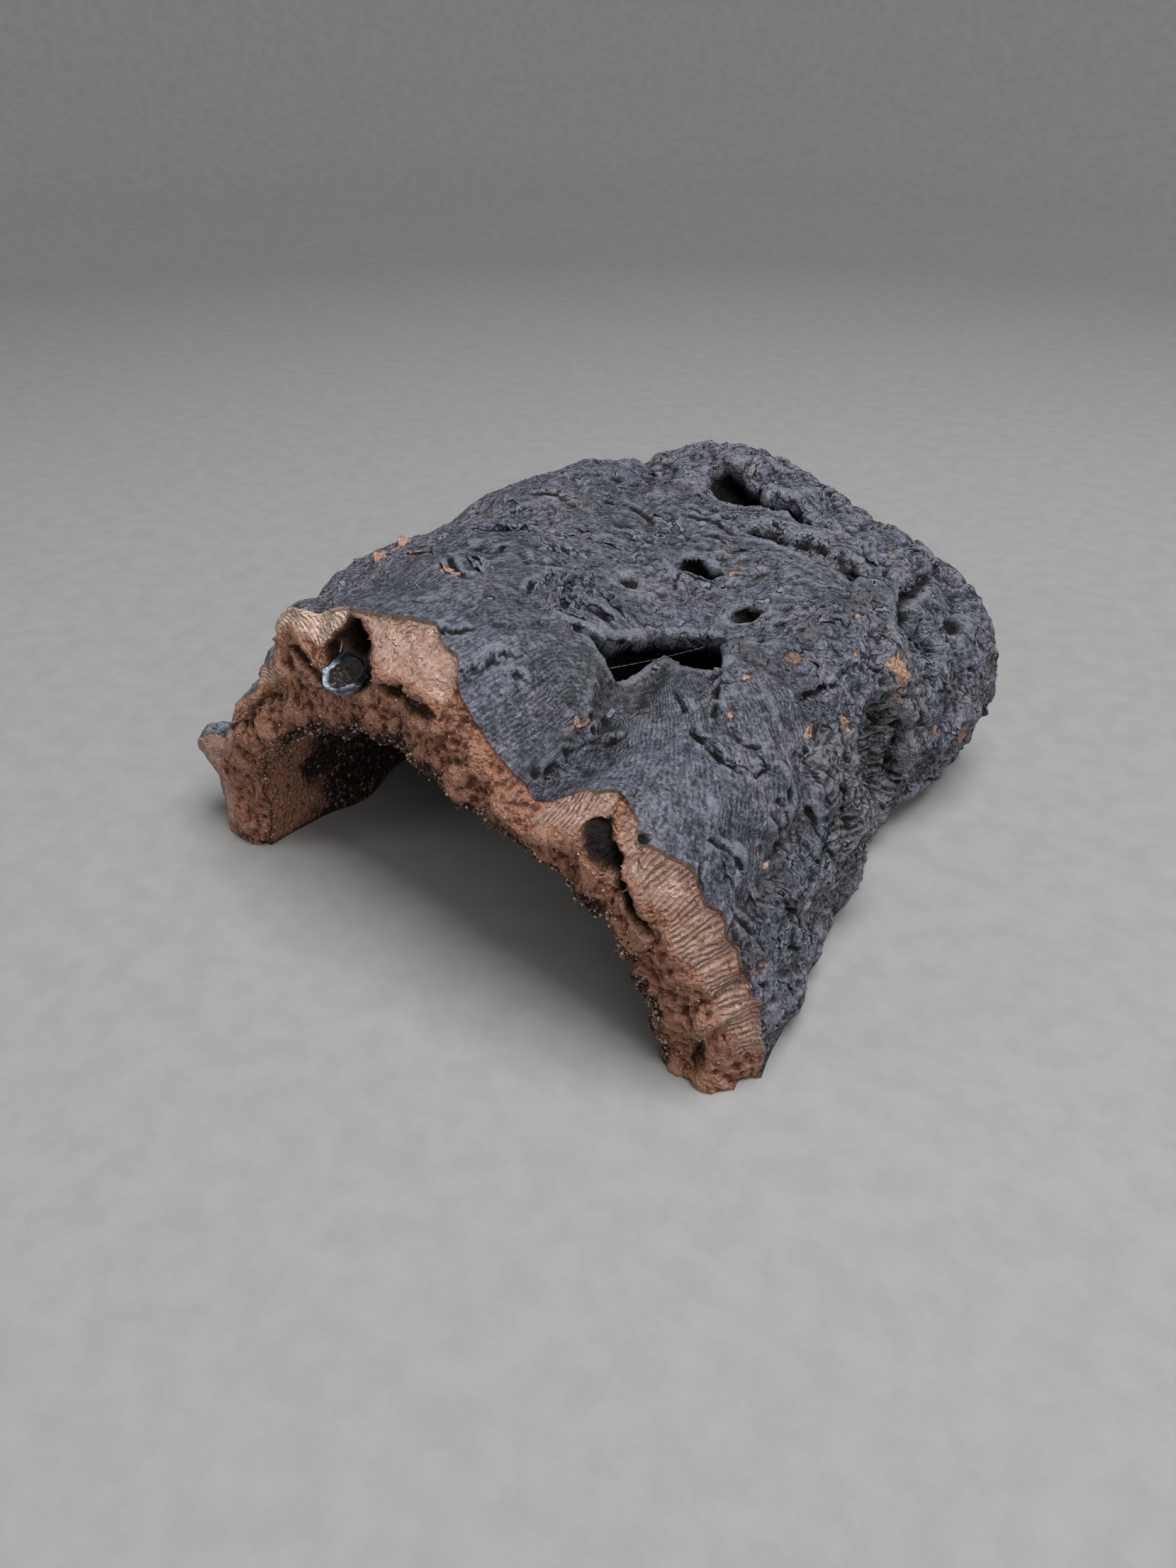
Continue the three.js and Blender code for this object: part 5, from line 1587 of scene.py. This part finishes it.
# %% Threads and fibres
TUBE_SIDES = 5
TUBE_STEPS = 9
FIBRES = 260
WEB_ENDS = np.array([170.0, 189.0]), np.array([39.5, 71.0])  # run and y of the thread in the slot
CUP_THREADS = ((0.4, 3.0), (1.1, 2.2), (2.0, 2.6), (2.8, 3.2), (5.6, 2.4))  # turn and reach


def tube(start, end, sag, radius, **maps):
    """A thin closed tube between two points, sagging by a vector in its middle."""
    s = np.linspace(0, 1, TUBE_STEPS)[:, None]
    line = mix(start, end, s) + 4 * s * (1 - s) * sag
    ahead = unit(np.gradient(line, axis=0))
    side = unit(np.cross(ahead, (0.31, 0.22, 0.93)))
    up = np.cross(side, ahead)
    angle = np.linspace(0, 2 * math.pi, TUBE_SIDES, endpoint=False)[None, :, None]
    thin = (1 - 0.6 * s)[:, None]
    spokes = np.cos(angle) * side[:, None] + np.sin(angle) * up[:, None]
    points = (line[:, None] + radius * thin * spokes).reshape(-1, 3)
    ids = np.arange(TUBE_STEPS * TUBE_SIDES).reshape(TUBE_STEPS, TUBE_SIDES)
    faces = quads(np.concatenate([ids, ids[:, :1]], axis=1), flip=True)
    faces += [ids[0].tolist(), ids[-1, ::-1].tolist()]
    return points, faces, {name: np.full(len(points), value) for name, value in maps.items()}


web_start, web_end = on_skin(*WEB_ENDS)
threads = [tube(web_start, web_end + (0, -1.0, 0.5), np.array((0, 0, -0.6)), 0.05, rim=0.6)]
for turn, reach in CUP_THREADS:
    way = math.cos(turn) * cup_side + math.sin(turn) * cup_front
    rim_point = CUP_PLACE + 5.6 * way + 1.2 * CUP_AXIS
    threads.append(tube(rim_point, rim_point + reach * (way + (0, 0.5, 0.3)),
                        np.array((0, 0, -0.3)), 0.1, rim=0.6))
rng = np.random.default_rng(19)
fibres = []
while len(fibres) < FIBRES:
    i, k = rng.integers(6, RUN_STEPS - 6), rng.integers(10, WALL_STEPS + 1)
    if near_maps["pale"][i, k] > BARE_FACET or near_maps["painted_shade"][i, k] > 0.6:
        continue
    way = unit(break_normals[i, k] + 0.8 * rng.normal(size=3) + (0, 0, -0.5))
    reach = rng.uniform(0.8, 2.2)
    bend = 0.25 * reach * rng.normal(size=3)
    fibres.append(tube(near_break[i, k] - 0.2 * way, near_break[i, k] + reach * way, bend,
                       rng.uniform(0.07, 0.14), pale=0.45, grit=0.3))
add_piece("silk_threads", gathered(threads), silk, "silk_cup")
add_piece("cork_fibres", gathered(fibres), granule, "cork_bark")

# %% [markdown]
# The piece stands on a plain pale floor. A flat floor would end in a hard horizon, so its rim is
# turned up far behind the piece on every side, as a photographer's paper sweep is.

# %% The floor
SWEEP_PROFILE = [(0.0, 0.0), (0.9, 0.0), (1.1, 0.03), (1.25, 0.12), (1.34, 0.28), (1.36, 0.6)]
SWEEP_SIDES = 96
sweep_points = [(0.0, 0.0, 0.0)]
for radius, height in SWEEP_PROFILE[1:]:
    for n in range(SWEEP_SIDES):
        angle = 2 * math.pi * n / SWEEP_SIDES
        sweep_points.append((radius * math.cos(angle), radius * math.sin(angle), height))
sweep_faces = [(0, 1 + n, 1 + (n + 1) % SWEEP_SIDES) for n in range(SWEEP_SIDES)]
for ring in range(len(SWEEP_PROFILE) - 2):
    for n in range(SWEEP_SIDES):
        a = 1 + ring * SWEEP_SIDES + n
        b = 1 + ring * SWEEP_SIDES + (n + 1) % SWEEP_SIDES
        sweep_faces.append((a, a + SWEEP_SIDES, b + SWEEP_SIDES, b))
paper, tree, shader = new_material("pale paper")
mottle = use_group(tree, mottling, Patch_mm=60.0, Mottle_mm=9.0, Speck_mm=0.6)
PAPER = (0.40, 0.396, 0.392)
PAPER_DARK = (0.365, 0.36, 0.355)
colour = tint(tree, stretch(tree, mottle["Mottle"], 0.3, 0.7), PAPER_DARK, PAPER)
finish_material(tree, shader, colour, stretch(tree, mottle["Specks"], 0.2, 0.8, 0.95, 0.85),
                mottle["Specks"], 0.05)
floor = mesh_piece("floor", sweep_points, sweep_faces, [paper])

# %% [markdown]
# The light on the real piece is soft: most of it comes from above, and a little from both sides.
# A sky texture would tint the cork. Three square lamps and a dim, even world give soft shadows
# like those, and each can be set by itself.

# %% The light
LAMPS = [  # name, place in metres, size, watts, colour
    ("overhead window", (0.28, 0.0, 1.12), 0.75, 13.0, (0.97, 0.985, 1.0)),
    ("right fill", (0.95, -0.55, 0.75), 0.8, 3.6, (1.0, 0.99, 0.97)),
    ("low front fill", (-0.75, -0.85, 0.42), 0.5, 2.1, (1.0, 0.98, 0.95)),
]
WORLD_COLOUR = (0.92, 0.95, 1.0, 1.0)
WORLD_STRENGTH = 0.075


def area_light(name, place, size, watts, colour):
    """A square lamp that looks at the middle of the piece; its place is in metres."""
    data = bpy.data.lights.new(name, "AREA")
    data.size, data.energy, data.color = size, watts, colour
    lamp = bpy.data.objects.new(name, data)
    lamp.location = place
    lamp.rotation_euler = (-Vector(place)).to_track_quat("-Z", "Y").to_euler()
    bpy.context.collection.objects.link(lamp)


for lamp_settings in LAMPS:
    area_light(*lamp_settings)
world = bpy.data.worlds.new("studio")
world.use_nodes = True
background = world.node_tree.nodes["Background"]
background.inputs["Color"].default_value = WORLD_COLOUR
background.inputs["Strength"].default_value = WORLD_STRENGTH
bpy.context.scene.world = world
bpy.context.scene.view_settings.view_transform = "Standard"
print("lamps:", [name for name, *_ in LAMPS])
